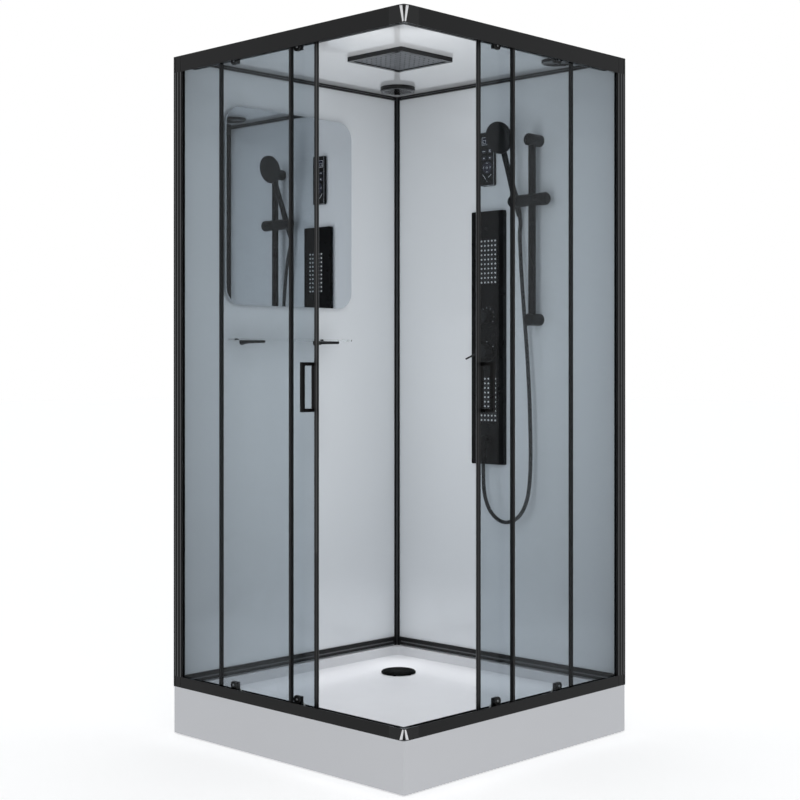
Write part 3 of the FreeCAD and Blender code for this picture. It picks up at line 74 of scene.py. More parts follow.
def math_result(tree, operation, first, second):
    """The result of one Math node on two values, each a socket or a number."""
    node = tree.nodes.new("ShaderNodeMath")
    node.operation = operation
    for k, value in enumerate((first, second)):
        if isinstance(value, (int, float)):
            node.inputs[k].default_value = value
        else:
            tree.links.new(value, node.inputs[k])
    return node.outputs["Value"]


def material(name, colour, rough, metal=0.0, shade=0.05, shade_scale=6.0, rough_shift=0.05,
             rough_scale=30.0, grain=0.0, grain_scale=900.0, **sockets):
    """A finish with its own slight change of tone, gloss and grain, all from nodes in the object's space."""
    m = bpy.data.materials.new(name)
    m.use_nodes = True
    tree = m.node_tree
    shader = tree.nodes["Principled BSDF"]
    shader.inputs["Metallic"].default_value = metal
    for key, value in sockets.items():
        shader.inputs[key.replace("_", " ")].default_value = value
    place = tree.nodes.new("ShaderNodeTexCoord")

    def noise(scale, detail):
        n = tree.nodes.new("ShaderNodeTexNoise")
        n.inputs["Scale"].default_value = scale
        n.inputs["Detail"].default_value = detail
        tree.links.new(place.outputs["Object"], n.inputs["Vector"])
        return n.outputs["Fac"]

    def spread(source, low, high):
        r = tree.nodes.new("ShaderNodeMapRange")
        r.inputs["From Min"].default_value, r.inputs["From Max"].default_value = 0.3, 0.7
        r.inputs["To Min"].default_value, r.inputs["To Max"].default_value = low, high
        tree.links.new(source, r.inputs["Value"])
        return r.outputs["Result"]

    dark = [c * (1 - shade) for c in colour]
    light = [min(1.0, c * (1 + shade)) for c in colour]
    tree.links.new(mixed_colour(tree, noise(shade_scale, 3), dark, light), shader.inputs["Base Color"])
    tree.links.new(spread(noise(rough_scale, 4), max(0.0, rough - rough_shift), rough + rough_shift),
                   shader.inputs["Roughness"])
    if grain:
        bump = tree.nodes.new("ShaderNodeBump")
        bump.inputs["Strength"].default_value = 1.0
        bump.inputs["Distance"].default_value = grain
        tree.links.new(noise(grain_scale, 2), bump.inputs["Height"])
        tree.links.new(bump.outputs["Normal"], shader.inputs["Normal"])
    return m


def lamps_through(m, colour):
    """Lets the light of the lamps through a clear pane, as real thin glass does."""
    tree = m.node_tree
    shader, out = tree.nodes["Principled BSDF"], tree.nodes["Material Output"]
    clear = tree.nodes.new("ShaderNodeBsdfTransparent")
    clear.inputs["Color"].default_value = (*colour, 1)
    path = tree.nodes.new("ShaderNodeLightPath")
    mix = tree.nodes.new("ShaderNodeMixShader")
    tree.links.new(path.outputs["Is Shadow Ray"], mix.inputs["Fac"])
    tree.links.new(shader.outputs["BSDF"], mix.inputs[1])
    tree.links.new(clear.outputs["BSDF"], mix.inputs[2])
    tree.links.new(mix.outputs["Shader"], out.inputs["Surface"])
    return m


post_black = material("post_aluminium", (0.0130, 0.0130, 0.0133), 0.36, 0.0, shade=0.10, rough_shift=0.03,
                      grain=0.00001, grain_scale=1400, Specular_IOR_Level=0.22)
aluminium = material("black_aluminium", (0.010, 0.010, 0.0103), 0.36, 0.0, shade=0.10, rough_shift=0.03,
                     grain=0.00001, grain_scale=1400, Specular_IOR_Level=0.22)
plastic = material("black_plastic", (0.009, 0.009, 0.0092), 0.42, shade=0.12, grain=0.00003, grain_scale=1600,
                   Specular_IOR_Level=0.25)
gloss_black = material("gloss_black", (0.008, 0.008, 0.0082), 0.14, shade=0.10, rough_shift=0.03,
                       grain=0.000004, grain_scale=700, Specular_IOR_Level=0.36)
deep_black = material("deep_black", (0.0035, 0.0035, 0.0036), 0.30, shade=0.15, rough_shift=0.04,
                      grain=0.000008, grain_scale=1200, Specular_IOR_Level=0.14)
matt_black = material("matt_black", (0.003, 0.003, 0.0031), 0.65, shade=0.12, grain=0.00001, grain_scale=1500,
                      Specular_IOR_Level=0.05)
acrylic = material("tray_acrylic", (0.598, 0.605, 0.628), 0.38, shade=0.012, shade_scale=3, rough_shift=0.04,
                   rough_scale=9, Coat_Weight=0.05, Coat_Roughness=0.20, Specular_IOR_Level=0.25)
walls = material("white_glass", (0.765, 0.79, 0.815), 0.12, shade=0.008, shade_scale=2, rough_shift=0.03,
                 rough_scale=6, Coat_Weight=0.3, Coat_Roughness=0.03)
roof = material("ceiling_plastic", (0.80, 0.81, 0.825), 0.10, shade=0.01, shade_scale=3, rough_shift=0.02,
                rough_scale=9, Coat_Weight=0.8, Coat_Roughness=0.03)
silver = material("mirror_glass", (0.73, 0.76, 0.79), 0.008, 1.0, shade=0.01, shade_scale=2, rough_shift=0.006,
                  rough_scale=5)
rubber = material("jet_rubber", (0.85, 0.86, 0.87), 0.55, shade=0.05, grain=0.00002, grain_scale=2000)
# Dark rubber for the spray nozzles, and also the painted shade in the roof screws' sockets.
dark_rubber_and_slot_shade = material("dark_rubber_and_slot_shade", (0.02, 0.02, 0.021), 0.6, shade=0.1, grain=0.00002, grain_scale=2000)
key_skin = material("key_plastic", (0.018, 0.019, 0.034), 0.36, shade=0.10, grain=0.00001, grain_scale=1800)
brass = material("brass", (0.62, 0.46, 0.19), 0.30, 1.0, shade=0.12, shade_scale=20, rough_shift=0.10,
                 grain=0.00003, grain_scale=500)
zinc = material("galvanised_steel", (0.52, 0.54, 0.56), 0.42, 1.0, shade=0.22, shade_scale=28, rough_shift=0.12,
                rough_scale=40, grain=0.00004, grain_scale=300)
waste = material("drain_plastic", (0.62, 0.62, 0.60), 0.50, shade=0.05, grain=0.00004, grain_scale=500)
hose_skin = material("hose_skin", (0.012, 0.012, 0.013), 0.28, shade=0.10, rough_shift=0.05, rough_scale=60,
                     grain=0.00001, grain_scale=900, Coat_Weight=0.3, Coat_Roughness=0.15)
nylon = material("wheel_nylon", (0.62, 0.61, 0.58), 0.48, shade=0.05, grain=0.00003, grain_scale=800)
black_nylon = material("carriage_plastic", (0.016, 0.016, 0.016), 0.46, shade=0.14, grain=0.00004,
                       grain_scale=1000)


def pane(name, colour):
    """Tinted safety glass: the first pane that a ray meets has this colour, and those behind it are clear."""
    m = material(name, colour, 0.002, shade=0.006, shade_scale=3, rough_shift=0.001, rough_scale=6,
                 Transmission_Weight=1.0, IOR=1.2, Specular_IOR_Level=0.35)
    tree = m.node_tree
    tint = tree.nodes["Principled BSDF"].inputs["Base Color"]
    first = tint.links[0].from_socket
    path = tree.nodes.new("ShaderNodeLightPath")
    later = math_result(tree, "GREATER_THAN", path.outputs["Transmission Depth"], 1.5)
    tree.links.new(mixed_colour(tree, later, first, (1, 1, 1)), tint)
    return lamps_through(m, [math.sqrt(c) for c in colour])


fixed_tint = pane("clear_glass", (0.495, 0.545, 0.580))
door_tint = pane("door_glass", (0.495, 0.545, 0.580))
shelf_tint = pane("shelf_glass", (0.93, 0.95, 0.955))


def two_tone(m, other, axis, edge):
    """Another colour beyond a plane across the object, such as a mat behind its jets."""
    tree = m.node_tree
    base = tree.nodes["Principled BSDF"].inputs["Base Color"]
    first = base.links[0].from_socket
    place = tree.nodes.new("ShaderNodeTexCoord")
    split = tree.nodes.new("ShaderNodeSeparateXYZ")
    tree.links.new(place.outputs["Object"], split.inputs["Vector"])
    beyond = math_result(tree, "GREATER_THAN", split.outputs[axis], edge)
    tree.links.new(mixed_colour(tree, beyond, first, other), base)


JET_MAT_FACE = 0.4707  # y of the mat's face, between the black mat and the white jets
two_tone(rubber, (0.009, 0.009, 0.0092), "Y", JET_MAT_FACE)

finish = {
    "tray_acrylic": acrylic, "galvanised_steel": zinc, "drain_plastic": waste, "black_plastic": plastic,
    "black_aluminium": aluminium, "white_glass": walls, "ceiling_plastic": roof,
    "clear_glass": fixed_tint, "mirror_glass": silver, "jet_rubber": rubber, "key_plastic": key_skin,
    "brass": brass, "hose_skin": hose_skin, "carriage_plastic": black_nylon, "wheel_nylon": nylon,
}
slot_of = {row["node"]: row["material_slot"] for row in frame["record"]["subparts"]}
own_finish = {"wall_posts": post_black, "left_door_glass": door_tint, "right_door_glass": door_tint,
              "shelf_glass": shelf_tint,
              "rain_head": gloss_black, "fan_housing": gloss_black, "speaker": gloss_black,
              "corner_joints": gloss_black, "left_handle": deep_black, "right_handle": deep_black,
              "shower_panel": deep_black, "drain_cover": matt_black, "slide_bar": deep_black,
              "slider_clamp": deep_black, "clamp_knob": deep_black, "handset_holder": deep_black,
              "shelf_brackets": deep_black, "hose_outlet": deep_black}
for name, obj in nodes.items():
    for slot in obj.material_slots:
        slot.link = "OBJECT"
        slot.material = own_finish.get(name, finish[slot_of[name]])

# The extruded and moulded parts have slightly rounded edges, which catch the light.
for name, width in (("wall_posts", 0.0010), ("top_rails", 0.0008), ("bottom_rails", 0.0008),
                    ("corner_joints", 0.0008), ("left_leading_profile", 0.0006),
                    ("right_leading_profile", 0.0006), ("left_handle", 0.0012), ("right_handle", 0.0012),
                    ("shower_panel", 0.0015), ("key_pad", 0.0010), ("rain_head", 0.0010),
                    ("wall_trims", 0.0008), ("tray", 0.0015)):
    soften = nodes[name].modifiers.new("edges", "BEVEL")
    soften.width, soften.segments = width, 2
    soften.limit_method, soften.angle_limit = "ANGLE", math.radians(50)
    soften.harden_normals = True

# ---------------------------------------------------------------- shower hose, one hose in two stretches
ROUTE = [(-0.047, 0.450, 0.820), (-0.047, 0.450, 0.778), (-0.043, 0.450, 0.712), (-0.014, 0.449, 0.653),
         (0.044, 0.448, 0.622), (0.104, 0.448, 0.642), (0.141, 0.449, 0.696), (0.153, 0.451, 0.770),
         (0.155, 0.452, 0.860), (0.152, 0.453, 0.960), (0.146, 0.454, 1.080), (0.136, 0.455, 1.205),
         (0.124, 0.455, 1.330), (0.114, 0.455, 1.440), (0.106, 0.458, 1.530), (0.098, 0.464, 1.590),
         (0.095, 0.47431, 1.62574), (0.095, 0.46708, 1.64438)]


def spline_points(name, points, steps):
    """The points of the smooth line through this route, as Blender draws it."""
    curve = bpy.data.curves.new(name, "CURVE")
    curve.dimensions = "3D"
    curve.resolution_u = steps
    line = curve.splines.new("NURBS")
    line.points.add(len(points) - 1)
    for target, point in zip(line.points, points):
        target.co = (*point, 1)
    line.order_u = 3
    line.use_endpoint_u = True
    holder = bpy.data.objects.new(name, curve)
    scene.collection.objects.link(holder)
    bpy.context.view_layer.update()
    mesh = bpy.data.meshes.new_from_object(holder)
    found = [v.co.copy() for v in mesh.vertices]
    bpy.data.objects.remove(holder)
    bpy.data.curves.remove(curve)
    bpy.data.meshes.remove(mesh)
    return found


def mesh_data(name, mesh):
    data = bpy.data.meshes.new(name)
    mesh.to_mesh(data)
    mesh.free()
    return data


def piece(name, data, body, look, smooth=True):
    """A new object that rides on a body, or on none."""
    obj = bpy.data.objects.new(name, data)
    scene.collection.objects.link(obj)
    data.materials.append(look)
    if smooth:
        data.polygons.foreach_set("use_smooth", [True] * len(data.polygons))
    if body is not None:
        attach(obj, body)
    return obj


def ring_at(mesh, middle, across, up, sides):
    return [mesh.verts.new(middle + across * math.cos(a) + up * math.sin(a))
            for a in (2 * math.pi * k / sides for k in range(sides))]


def skin(mesh, pairs):
    """Faces between each pair of rings."""
    for a, b in pairs:
        for k in range(len(a)):
            n = (k + 1) % len(a)
            mesh.faces.new((a[k], a[n], b[n], b[k]))


def swept(points, radius, sides):
    """A closed tube along these points."""
    mesh = bmesh.new()
    across = Vector((1, 0, 0))
    rings = []
    for i, p in enumerate(points):
        ahead = points[min(i + 1, len(points) - 1)] - points[max(i - 1, 0)]
        ahead.normalize()
        across = (across - ahead * across.dot(ahead)).normalized()
        up = ahead.cross(across)
        rings.append(ring_at(mesh, p, across * radius, up * radius, sides))
    skin(mesh, zip(rings, rings[1:]))
    mesh.faces.new(list(reversed(rings[0])))
    mesh.faces.new(rings[-1])
    bmesh.ops.recalc_face_normals(mesh, faces=mesh.faces)
    return mesh_data("tube", mesh)


def hoop(points, centre, radius, sides):
    """A closed ring of this thickness through points that go round a centre."""
    mesh = bmesh.new()
    rings = []
    for p in points:
        out = (p - centre).normalized()
        rings.append(ring_at(mesh, p, out * radius, Vector((0, 0, radius)), sides))
    skin(mesh, zip(rings, rings[1:] + rings[:1]))
    bmesh.ops.recalc_face_normals(mesh, faces=mesh.faces)
    return mesh_data("hoop", mesh)


line = spline_points("hose_line", ROUTE, 16)


# One hose in two stretches, because the slide and the tilt each bend one of them.
CUT_HEIGHT = 1.38
HOSE_SIDES = 24
lowest = min(range(len(line)), key=lambda k: line[k].z)
cut = next(k for k in range(lowest, len(line)) if line[k].z > CUT_HEIGHT)
for name, first, last, lower, upper, start, end in (
        ("hose_run", 0, cut, "root", "slider", (0.13, 0.45, 0.70), (0.452, 0.45, 1.1756)),
        ("hose_neck", cut, len(line) - 1, "slider", "holder", (0.095, 0.467, 1.600), (0.095, 0.467, 1.6444))):
    stretch = line[first:last + 1]
    hose = piece(name, swept(stretch, 0.0065, HOSE_SIDES), None, hose_skin)
    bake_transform(hose)
    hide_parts("shower_hose")

# The hose's nipple inside the handset's foot, which shows when the handset is lifted out of its holder.
handle_axis = Vector((0, -0.36162, 0.93232))
inside = [line[-1] + handle_axis * d for d in (-0.0005, 0.02, 0.04, 0.0625)]
nipple = piece("hose_nipple", swept(inside, 0.0064, HOSE_SIDES), "holder", hose_skin)

# ---------------------------------------------------------------- key pad: display, frame and marks
def slab(name, shapes, y, depth, body, look):
    """Flat outlines of (x, z) points standing depth proud of the plane y, towards the user."""
    mesh = bmesh.new()
    for shape in shapes:
        back = [mesh.verts.new((a, y, b)) for a, b in shape]
        front = [mesh.verts.new((a, y - depth, b)) for a, b in shape]
        mesh.faces.new(back)
        mesh.faces.new(list(reversed(front)))
        for k in range(len(shape)):
            n = (k + 1) % len(shape)
            mesh.faces.new((back[k], front[k], front[n], back[n]))
    bmesh.ops.recalc_face_normals(mesh, faces=mesh.faces)
    return piece(name, mesh_data(name, mesh), body, look, smooth=False)


def stroke(x0, z0, x1, z1, width):
    along = Vector((x1 - x0, z1 - z0)).normalized() * width / 2
    side = Vector((-along.y, along.x))
    a, b = Vector((x0, z0)) - along, Vector((x1, z1)) + along
    return [tuple(a + side), tuple(a - side), tuple(b - side), tuple(b + side)]


def dot(x, z, radius, sides=20):
    return [(x + radius * math.cos(2 * math.pi * k / sides), z + radius * math.sin(2 * math.pi * k / sides))
            for k in range(sides)]


def arc(x, z, radius, width, start, end, steps=20):
    turn = [math.radians(start + (end - start) * k / steps) for k in range(steps + 1)]

    def at(reach, a):
        return x + reach * math.cos(a), z + reach * math.sin(a)

    inner, outer = radius - width / 2, radius + width / 2
    return [[at(inner, a), at(outer, a), at(outer, b), at(inner, b)] for a, b in zip(turn, turn[1:])]


def border(x0, z0, x1, z1, width):
    return [[(x0, z0), (x1, z0), (x1, z0 + width), (x0, z0 + width)],
            [(x0, z1 - width), (x1, z1 - width), (x1, z1), (x0, z1)],
            [(x0, z0 + width), (x0 + width, z0 + width), (x0 + width, z1 - width), (x0, z1 - width)],
            [(x1 - width, z0 + width), (x1, z0 + width), (x1, z1 - width), (x1 - width, z1 - width)]]


# White for printed marks, and also for the painted highlight on the diverter lever's tip.
white_print_and_highlight = material("white_print_and_highlight", (0.80, 0.82, 0.86), 0.5, shade=0.04, grain=0.000004, grain_scale=3000)
silver_edge = material("silver_edge", (0.78, 0.80, 0.83), 0.25, 0.6, shade=0.04)
display = material("display", (0.010, 0.012, 0.030), 0.06, shade=0.3, shade_scale=60, rough_shift=0.02,
                   Coat_Weight=0.6, Coat_Roughness=0.03)
PAD_X, FACE, KEY_FACE = -0.052, 0.475, 0.4738  # the pad's middle, its face and its keys' faces
PRINT, LINE = 0.00015, 0.0013  # thickness of a printed mark, and width of the ring key's lines
UPPER_ROW, LOWER_ROW, RING_Z = 1.874, 1.851, 1.819
slab("display_glass", [[(PAD_X - 0.0235, 1.8955), (PAD_X + 0.0235, 1.8955), (PAD_X + 0.0235, 1.9225),
                        (PAD_X - 0.0235, 1.9225)]], FACE + 0.0008, 0.0006, "root", display)
digits = []
for k, middle_lit in enumerate((False, True, True)):
    x0, x1, z0, z1 = PAD_X + 0.001 + 0.0075 * k, PAD_X + 0.0055 + 0.0075 * k, 1.8995, 1.9095
    zm = (z0 + z1) / 2
    digits += [stroke(x0, z0, x1, z0, 0.001), stroke(x0, z1, x1, z1, 0.001), stroke(x0, z0, x0, z1, 0.001),
               stroke(x1, z0, x1, z1, 0.001)]
    if middle_lit:
        digits.append(stroke(x0, zm, x1, zm, 0.001))
slab("display_print", border(PAD_X - 0.023, 1.896, PAD_X + 0.023, 1.922, 0.0009) + digits
     + border(PAD_X - 0.018, 1.9005, PAD_X - 0.006, 1.9125, 0.0009), FACE + 0.0002, 0.0002, "root", white_print_and_highlight)
slab("pad_frame", border(PAD_X - 0.0297, 1.7573, PAD_X + 0.0297, 1.9387, 0.0011), FACE, 0.0004, "root",
     silver_edge)
slab("lower_marks", [stroke(PAD_X - 0.019, 1.7965, PAD_X - 0.006, 1.7795, 0.0014),
                     stroke(PAD_X + 0.006, 1.786, PAD_X + 0.018, 1.794, 0.0014), dot(PAD_X, 1.772, 0.0012)],
     FACE, PRINT, "root", white_print_and_highlight)
ring_marks = []
for edge, peak in ((1.8325, 1.835), (1.8055, 1.803)):
    ring_marks += [stroke(PAD_X - 0.0035, edge, PAD_X, peak, LINE),
                   stroke(PAD_X, peak, PAD_X + 0.0035, edge, LINE)]
for way in (-1, 1):
    foot, tip = PAD_X + way * 0.0135, PAD_X + way * 0.016
    ring_marks += [stroke(foot, RING_Z - 0.0035, tip, RING_Z, LINE),
                   stroke(tip, RING_Z, foot, RING_Z + 0.0035, LINE)]
for key, marks in {
    "upper_left_key": [stroke(-0.070, UPPER_ROW, -0.060, UPPER_ROW, 0.0016)],
    "upper_right_key": [stroke(-0.0425, UPPER_ROW - 0.0035, -0.0355, UPPER_ROW + 0.0035, 0.0014),
                        stroke(-0.0425, UPPER_ROW + 0.0035, -0.0355, UPPER_ROW - 0.0035, 0.0014),
                        dot(-0.039, UPPER_ROW + 0.0045, 0.0011)],
    "lower_left_key": [dot(-0.065, LOWER_ROW, 0.0024)],
    "lower_right_key": [dot(-0.039, LOWER_ROW, 0.0024)],
    "ring_key": ring_marks,
    "centre_key": arc(PAD_X, 1.8185, 0.0035, 0.001, 125, 415) + [stroke(PAD_X, 1.8195, PAD_X, 1.8235, 0.001)],
}.items():
    slab(key + "_mark", marks, KEY_FACE, PRINT, key + "_body", white_print_and_highlight)

# ---------------------------------------------------------------- small metal and plastic parts
def bars(name, spans, body, look):
    """Slim trims, each from its lowest to its highest corner."""
    mesh = bmesh.new()
    for x0, y0, z0, x1, y1, z1 in spans:
        made = bmesh.ops.create_cube(mesh, size=1.0)["verts"]
        bmesh.ops.scale(mesh, vec=(x1 - x0, y1 - y0, z1 - z0), verts=made)
        bmesh.ops.translate(mesh, vec=((x0 + x1) / 2, (y0 + y1) / 2, (z0 + z1) / 2), verts=made)
    return piece(name, mesh_data(name, mesh), body, look, smooth=False)


def studs(name, spots, radius, height, sides, body, look, taper=1.0):
    """Small turned or hexagonal parts: each spot has its base point and the direction that it stands in."""
    mesh = bmesh.new()
    for base, out in spots:
        out = Vector(out).normalized()
        turned = out.to_track_quat("Z", "Y").to_matrix().to_4x4()
        place = Matrix.Translation(Vector(base) + out * height / 2) @ turned
        bmesh.ops.create_cone(mesh, cap_ends=True, segments=sides, radius1=radius, radius2=radius * taper,
                              depth=height, matrix=place)
    return piece(name, mesh_data(name, mesh), body, look, smooth=False)


HALF = 0.5                             # half the cabin's width
PANEL_X, PANEL_FACE = -0.047, 0.4680   # the shower panel's middle and face
TEMPERATURE_Z, DIVERTER_Z = 1.313, 1.198
PIPE_Y, VALVE_Z = 0.517, 1.2555        # the supply behind the wall
ROOF = 2.118
POST_LOW, POST_HIGH = 0.181, 2.062     # the wall posts between the rails
FAN = Vector((-0.35, 0.35, 2.0975))
LEVER_ANGLE = math.radians(21)

seal_grey = material("seal_grey", (0.048, 0.049, 0.050), 0.35, shade=0.08, grain=0.000005, grain_scale=2000)
# A light grey for painted highlight lines on the black posts, trims and fan.
highlight_grey = material("painted_highlight_line", (0.085, 0.088, 0.092), 0.32, shade=0.08, grain=0.000005, grain_scale=2000)
red_ring = material("hot_ring", (0.45, 0.02, 0.02), 0.5, shade=0.06, grain=0.00001)
blue_ring = material("cold_ring", (0.02, 0.07, 0.42), 0.5, shade=0.06, grain=0.00001)
tip_rubber = material("tip_rubber", (0.21, 0.22, 0.235), 0.5, shade=0.06, grain=0.00001, grain_scale=2000)
spray_skin = material("spray_skin", (0.085, 0.091, 0.101), 0.34, shade=0.06, rough_shift=0.04, grain=0.000004,
                      grain_scale=1500, Specular_IOR_Level=0.4)
# A light finish for the painted highlights on the corner joints.
joint_highlight = material("painted_joint_highlight", (0.80, 0.80, 0.81), 0.22, shade=0.04, rough_shift=0.04, Coat_Weight=0.4)
steel = material("screw_steel", (0.60, 0.61, 0.62), 0.30, 1.0, shade=0.06, grain=0.000006)

# Light lines on the wall posts are painted highlights on their flutes, and the black lines between them are
# painted shade in their grooves.
for name, lines, look in (("post_inlays", ((0.0065, 0.0030), (0.0180, 0.0030), (0.0325, 0.0030)), highlight_grey),
                          ("post_grooves", ((0.0115, 0.0042), (0.0265, 0.0042)), deep_black)):
    bars(name, [(-HALF + u, -0.5003, POST_LOW, -HALF + u + w, -0.4990, POST_HIGH) for u, w in lines]
         + [(0.4990, HALF - u - w, POST_LOW, 0.5003, HALF - u, POST_HIGH) for u, w in lines], "root", look)
bars("left_seal_line", [(0.1260, -0.4724, 0.172, 0.1272, -0.4718, 2.082)], "left_door", seal_grey)
bars("right_seal_line", [(0.4718, -0.1682, 0.172, 0.4724, -0.1670, 2.082)], "right_door", seal_grey)
# A light line down the inner corner of the back corner post: a painted highlight.
highlight_path = [Vector((-0.4835, 0.4835, 0.150)), Vector((-0.4835, 0.4835, 1.1)), Vector((-0.4835, 0.4835, 2.110))]
piece("painted_highlight_line", swept(highlight_path, 0.0026, 12), "root", highlight_grey)
# A small white cap on the lever's end, a painted highlight where its tip catches the light.
lever_way = Vector((-math.cos(LEVER_ANGLE), 0, -math.sin(LEVER_ANGLE)))
tip = Vector((PANEL_X, 0.4415, DIVERTER_Z)) + 0.0735 * lever_way
studs("lever_tip_highlight", [(tip, lever_way)], 0.0036, 0.0045, 24, "diverter_control", white_print_and_highlight, taper=0.8)


def dial(z, angle, radius):
    """A place on a knob's dial, by its angle from the top."""
    return PANEL_X + radius * math.sin(math.radians(angle)), z + radius * math.cos(math.radians(angle))


slab("temperature_ticks", [stroke(*dial(TEMPERATURE_Z, angle, 0.0295), *dial(TEMPERATURE_Z, angle, 0.0335), 0.0009)
                           for angle in range(-120, 121, 30)], PANEL_FACE, PRINT, "root", white_print_and_highlight)
slab("diverter_dots", [dot(*dial(DIVERTER_Z, angle, 0.0315), 0.0014) for angle in (-60, 0, 60)],
     PANEL_FACE, PRINT, "root", white_print_and_highlight)
slab("temperature_pointer", [stroke(PANEL_X, 1.3318, PANEL_X, 1.3338, 0.0016)], 0.4335, PRINT,
     "temperature_control", white_print_and_highlight)
ridges = []
for k in range(18):
    turn = 2 * math.pi * k / 18
    ridges.append(((0.2035, 0.449 + 0.0198 * math.cos(turn), 1.691 + 0.0198 * math.sin(turn)), (1, 0, 0)))
studs("clamp_ridges", ridges, 0.0011, 0.0185, 8, "clamp_screw", deep_black)
studs("pipe_nuts", [((PANEL_X, PIPE_Y, 1.3535), (0, 0, 1)), ((PANEL_X, PIPE_Y, 1.1575), (0, 0, -1)),
                    ((-0.081, PIPE_Y, VALVE_Z), (-1, 0, 0)), ((-0.013, PIPE_Y, VALVE_Z), (1, 0, 0))],
      0.0145, 0.009, 6, "root", brass)
studs("rain_nut", [((0.005, -0.005, 2.1255), (0, 0, 1))], 0.0175, 0.010, 6, "root", brass)
studs("hot_ring", [((-0.0925, PIPE_Y, VALVE_Z), (-1, 0, 0))], 0.0106, 0.004, 32, "root", red_ring)
studs("cold_ring", [((-0.0015, PIPE_Y, VALVE_Z), (1, 0, 0))], 0.0106, 0.004, 32, "root", blue_ring)
saddles = [(-0.060, y - 0.006, ROOF, -0.034, y + 0.006, 2.1395) for y in (0.10, 0.28, 0.44)]
bars("pipe_saddles", saddles, "root", black_nylon)
SCREW_LINE, SCREW_PLACES = 0.4715, (-0.42, -0.25, -0.08, 0.09, 0.26, 0.42)
spots = [((u, -SCREW_LINE, ROOF), (0, 0, 1)) for u in SCREW_PLACES]
spots += [((SCREW_LINE, u, ROOF), (0, 0, 1)) for u in SCREW_PLACES]
studs("roof_screws", spots, 0.0042, 0.0018, 20, "root", steel, taper=0.6)
# Dark hexagons on the roof screws' heads: painted shade in their sockets.
studs("roof_screw_slot_shade", [((x, y, 2.1196), n) for (x, y, z), n in spots], 0.0016, 0.0003, 6, "root", dark_rubber_and_slot_shade)

strips = ((2.1040, 0.0022), (0.1620, 0.0040))  # height and width of the painted highlight line along each wall trim
bars("trim_highlight_lines", [(-0.4804, -0.474, z, -0.4796, 0.460, z + w) for z, w in strips]
     + [(-0.460, 0.4796, z, 0.474, 0.4804, z + w) for z, w in strips], "root", highlight_grey)
bars("rain_face", [(-0.098, -0.108, 2.1006, 0.108, 0.098, 2.1014)], "root", spray_skin)
studs("rain_tips", [((0.005 + 0.021 * i, -0.005 + 0.021 * j, 2.1010), (0, 0, -1))
                    for i in range(-4, 5) for j in range(-4, 5)], 0.0023, 0.0026, 12, "root", tip_rubber,
      taper=0.7)
# A light ring round the fan's rim, a painted highlight on its glossy black edge.
ring = [FAN + 0.0585 * Vector((math.cos(math.radians(a)), math.sin(math.radians(a)), 0)) for a in range(0, 360, 6)]
piece("fan_highlight_ring", hoop(ring, FAN, 0.0012, 8), "root", highlight_grey)
for side_name, flip in (("left", False), ("right", True)):
    spots = []
    for u in (0.044, -0.238):
        for z in (0.185, 2.0678):
            spots.append(((0.474, -u - 0.041, z), (1, 0, 0)) if flip else ((u, -0.474, z), (0, -1, 0)))
    studs(side_name + "_cap_screws", spots, 0.0042, 0.0016, 20, side_name + "_door", steel, taper=0.75)


def gleam(label, low, tall, broad_on_top):
    """Two light slips let into a corner joint as painted highlights, one each side of its edge, wider where the
    joint is rounder.
    """
    mesh = bmesh.new()
    out, along = Vector((1, -1, 0)).normalized(), Vector((1, 1, 0)).normalized()

    def spot(across, part, lift):
        radius = 0.002 + 0.024 * part
        if abs(across) <= radius / math.sqrt(2):
            depth = math.sqrt(radius ** 2 - across ** 2) - radius * math.sqrt(2)
        else:
            depth = -abs(across)
        height = low + tall * (part if broad_on_top else 1 - part)
        return Vector((0.5, -0.5, height)) + out * (depth + lift) + along * across

    def rim(rows):
        """The points round a sheet's edge."""
        return ([r[0] for r in rows] + rows[-1][1:] + [r[-1] for r in reversed(rows[:-1])]
                + list(reversed(rows[0][1:-1])))

    for way in (-1, 1):
        sheets = []
        for lift in (0.0004, -0.0006):
            rows = []
            for part in (0.05 + 0.90 * n / 8 for n in range(9)):
                inner, outer = 0.0010 + 0.0040 * part, 0.0046 + 0.0082 * part
                rows.append([mesh.verts.new(spot(way * (inner + (outer - inner) * k / 4), part, lift))
                             for k in range(5)])
            sheets.append(rows)
        top, base = sheets
        for rows in sheets:
            for a, b in zip(rows, rows[1:]):
                for k in range(4):
                    mesh.faces.new((a[k], a[k + 1], b[k + 1], b[k]))
        skin(mesh, [(rim(top), rim(base))])
    bmesh.ops.recalc_face_normals(mesh, faces=mesh.faces)
    piece(label, mesh_data(label, mesh), "root", joint_highlight)


# Painted highlights on the upper and lower corner joints.
gleam("upper_joint_highlights", 2.062, 0.050, True)
gleam("lower_joint_highlights", 0.148, 0.033, False)

# ---------------------------------------------------------------- handset: spray face
face_centre = Vector((0.095, 0.35675, 1.8901))
face_out = Vector((0, -0.9650, -0.2622))
face_up = Vector((0, -0.2622, 0.9650))
side = Vector((1, 0, 0))
leaning = face_out.to_track_quat("Z", "Y").to_matrix().to_4x4()
mesh = bmesh.new()
for ring in range(1, 6):
    for k in range(6 * ring):
        turn = 2 * math.pi * k / (6 * ring) + 0.2 * ring
        spot = face_centre + 0.0078 * ring * (side * math.cos(turn) + face_up * math.sin(turn))
        place = Matrix.Translation(spot + face_out * 0.0004) @ leaning
        bmesh.ops.create_cone(mesh, cap_ends=True, segments=10, radius1=0.0016, radius2=0.0011, depth=0.0018,
                              matrix=place)
piece("spray_nozzles", mesh_data("spray_nozzles", mesh), "handset_body", dark_rubber_and_slot_shade, smooth=False)

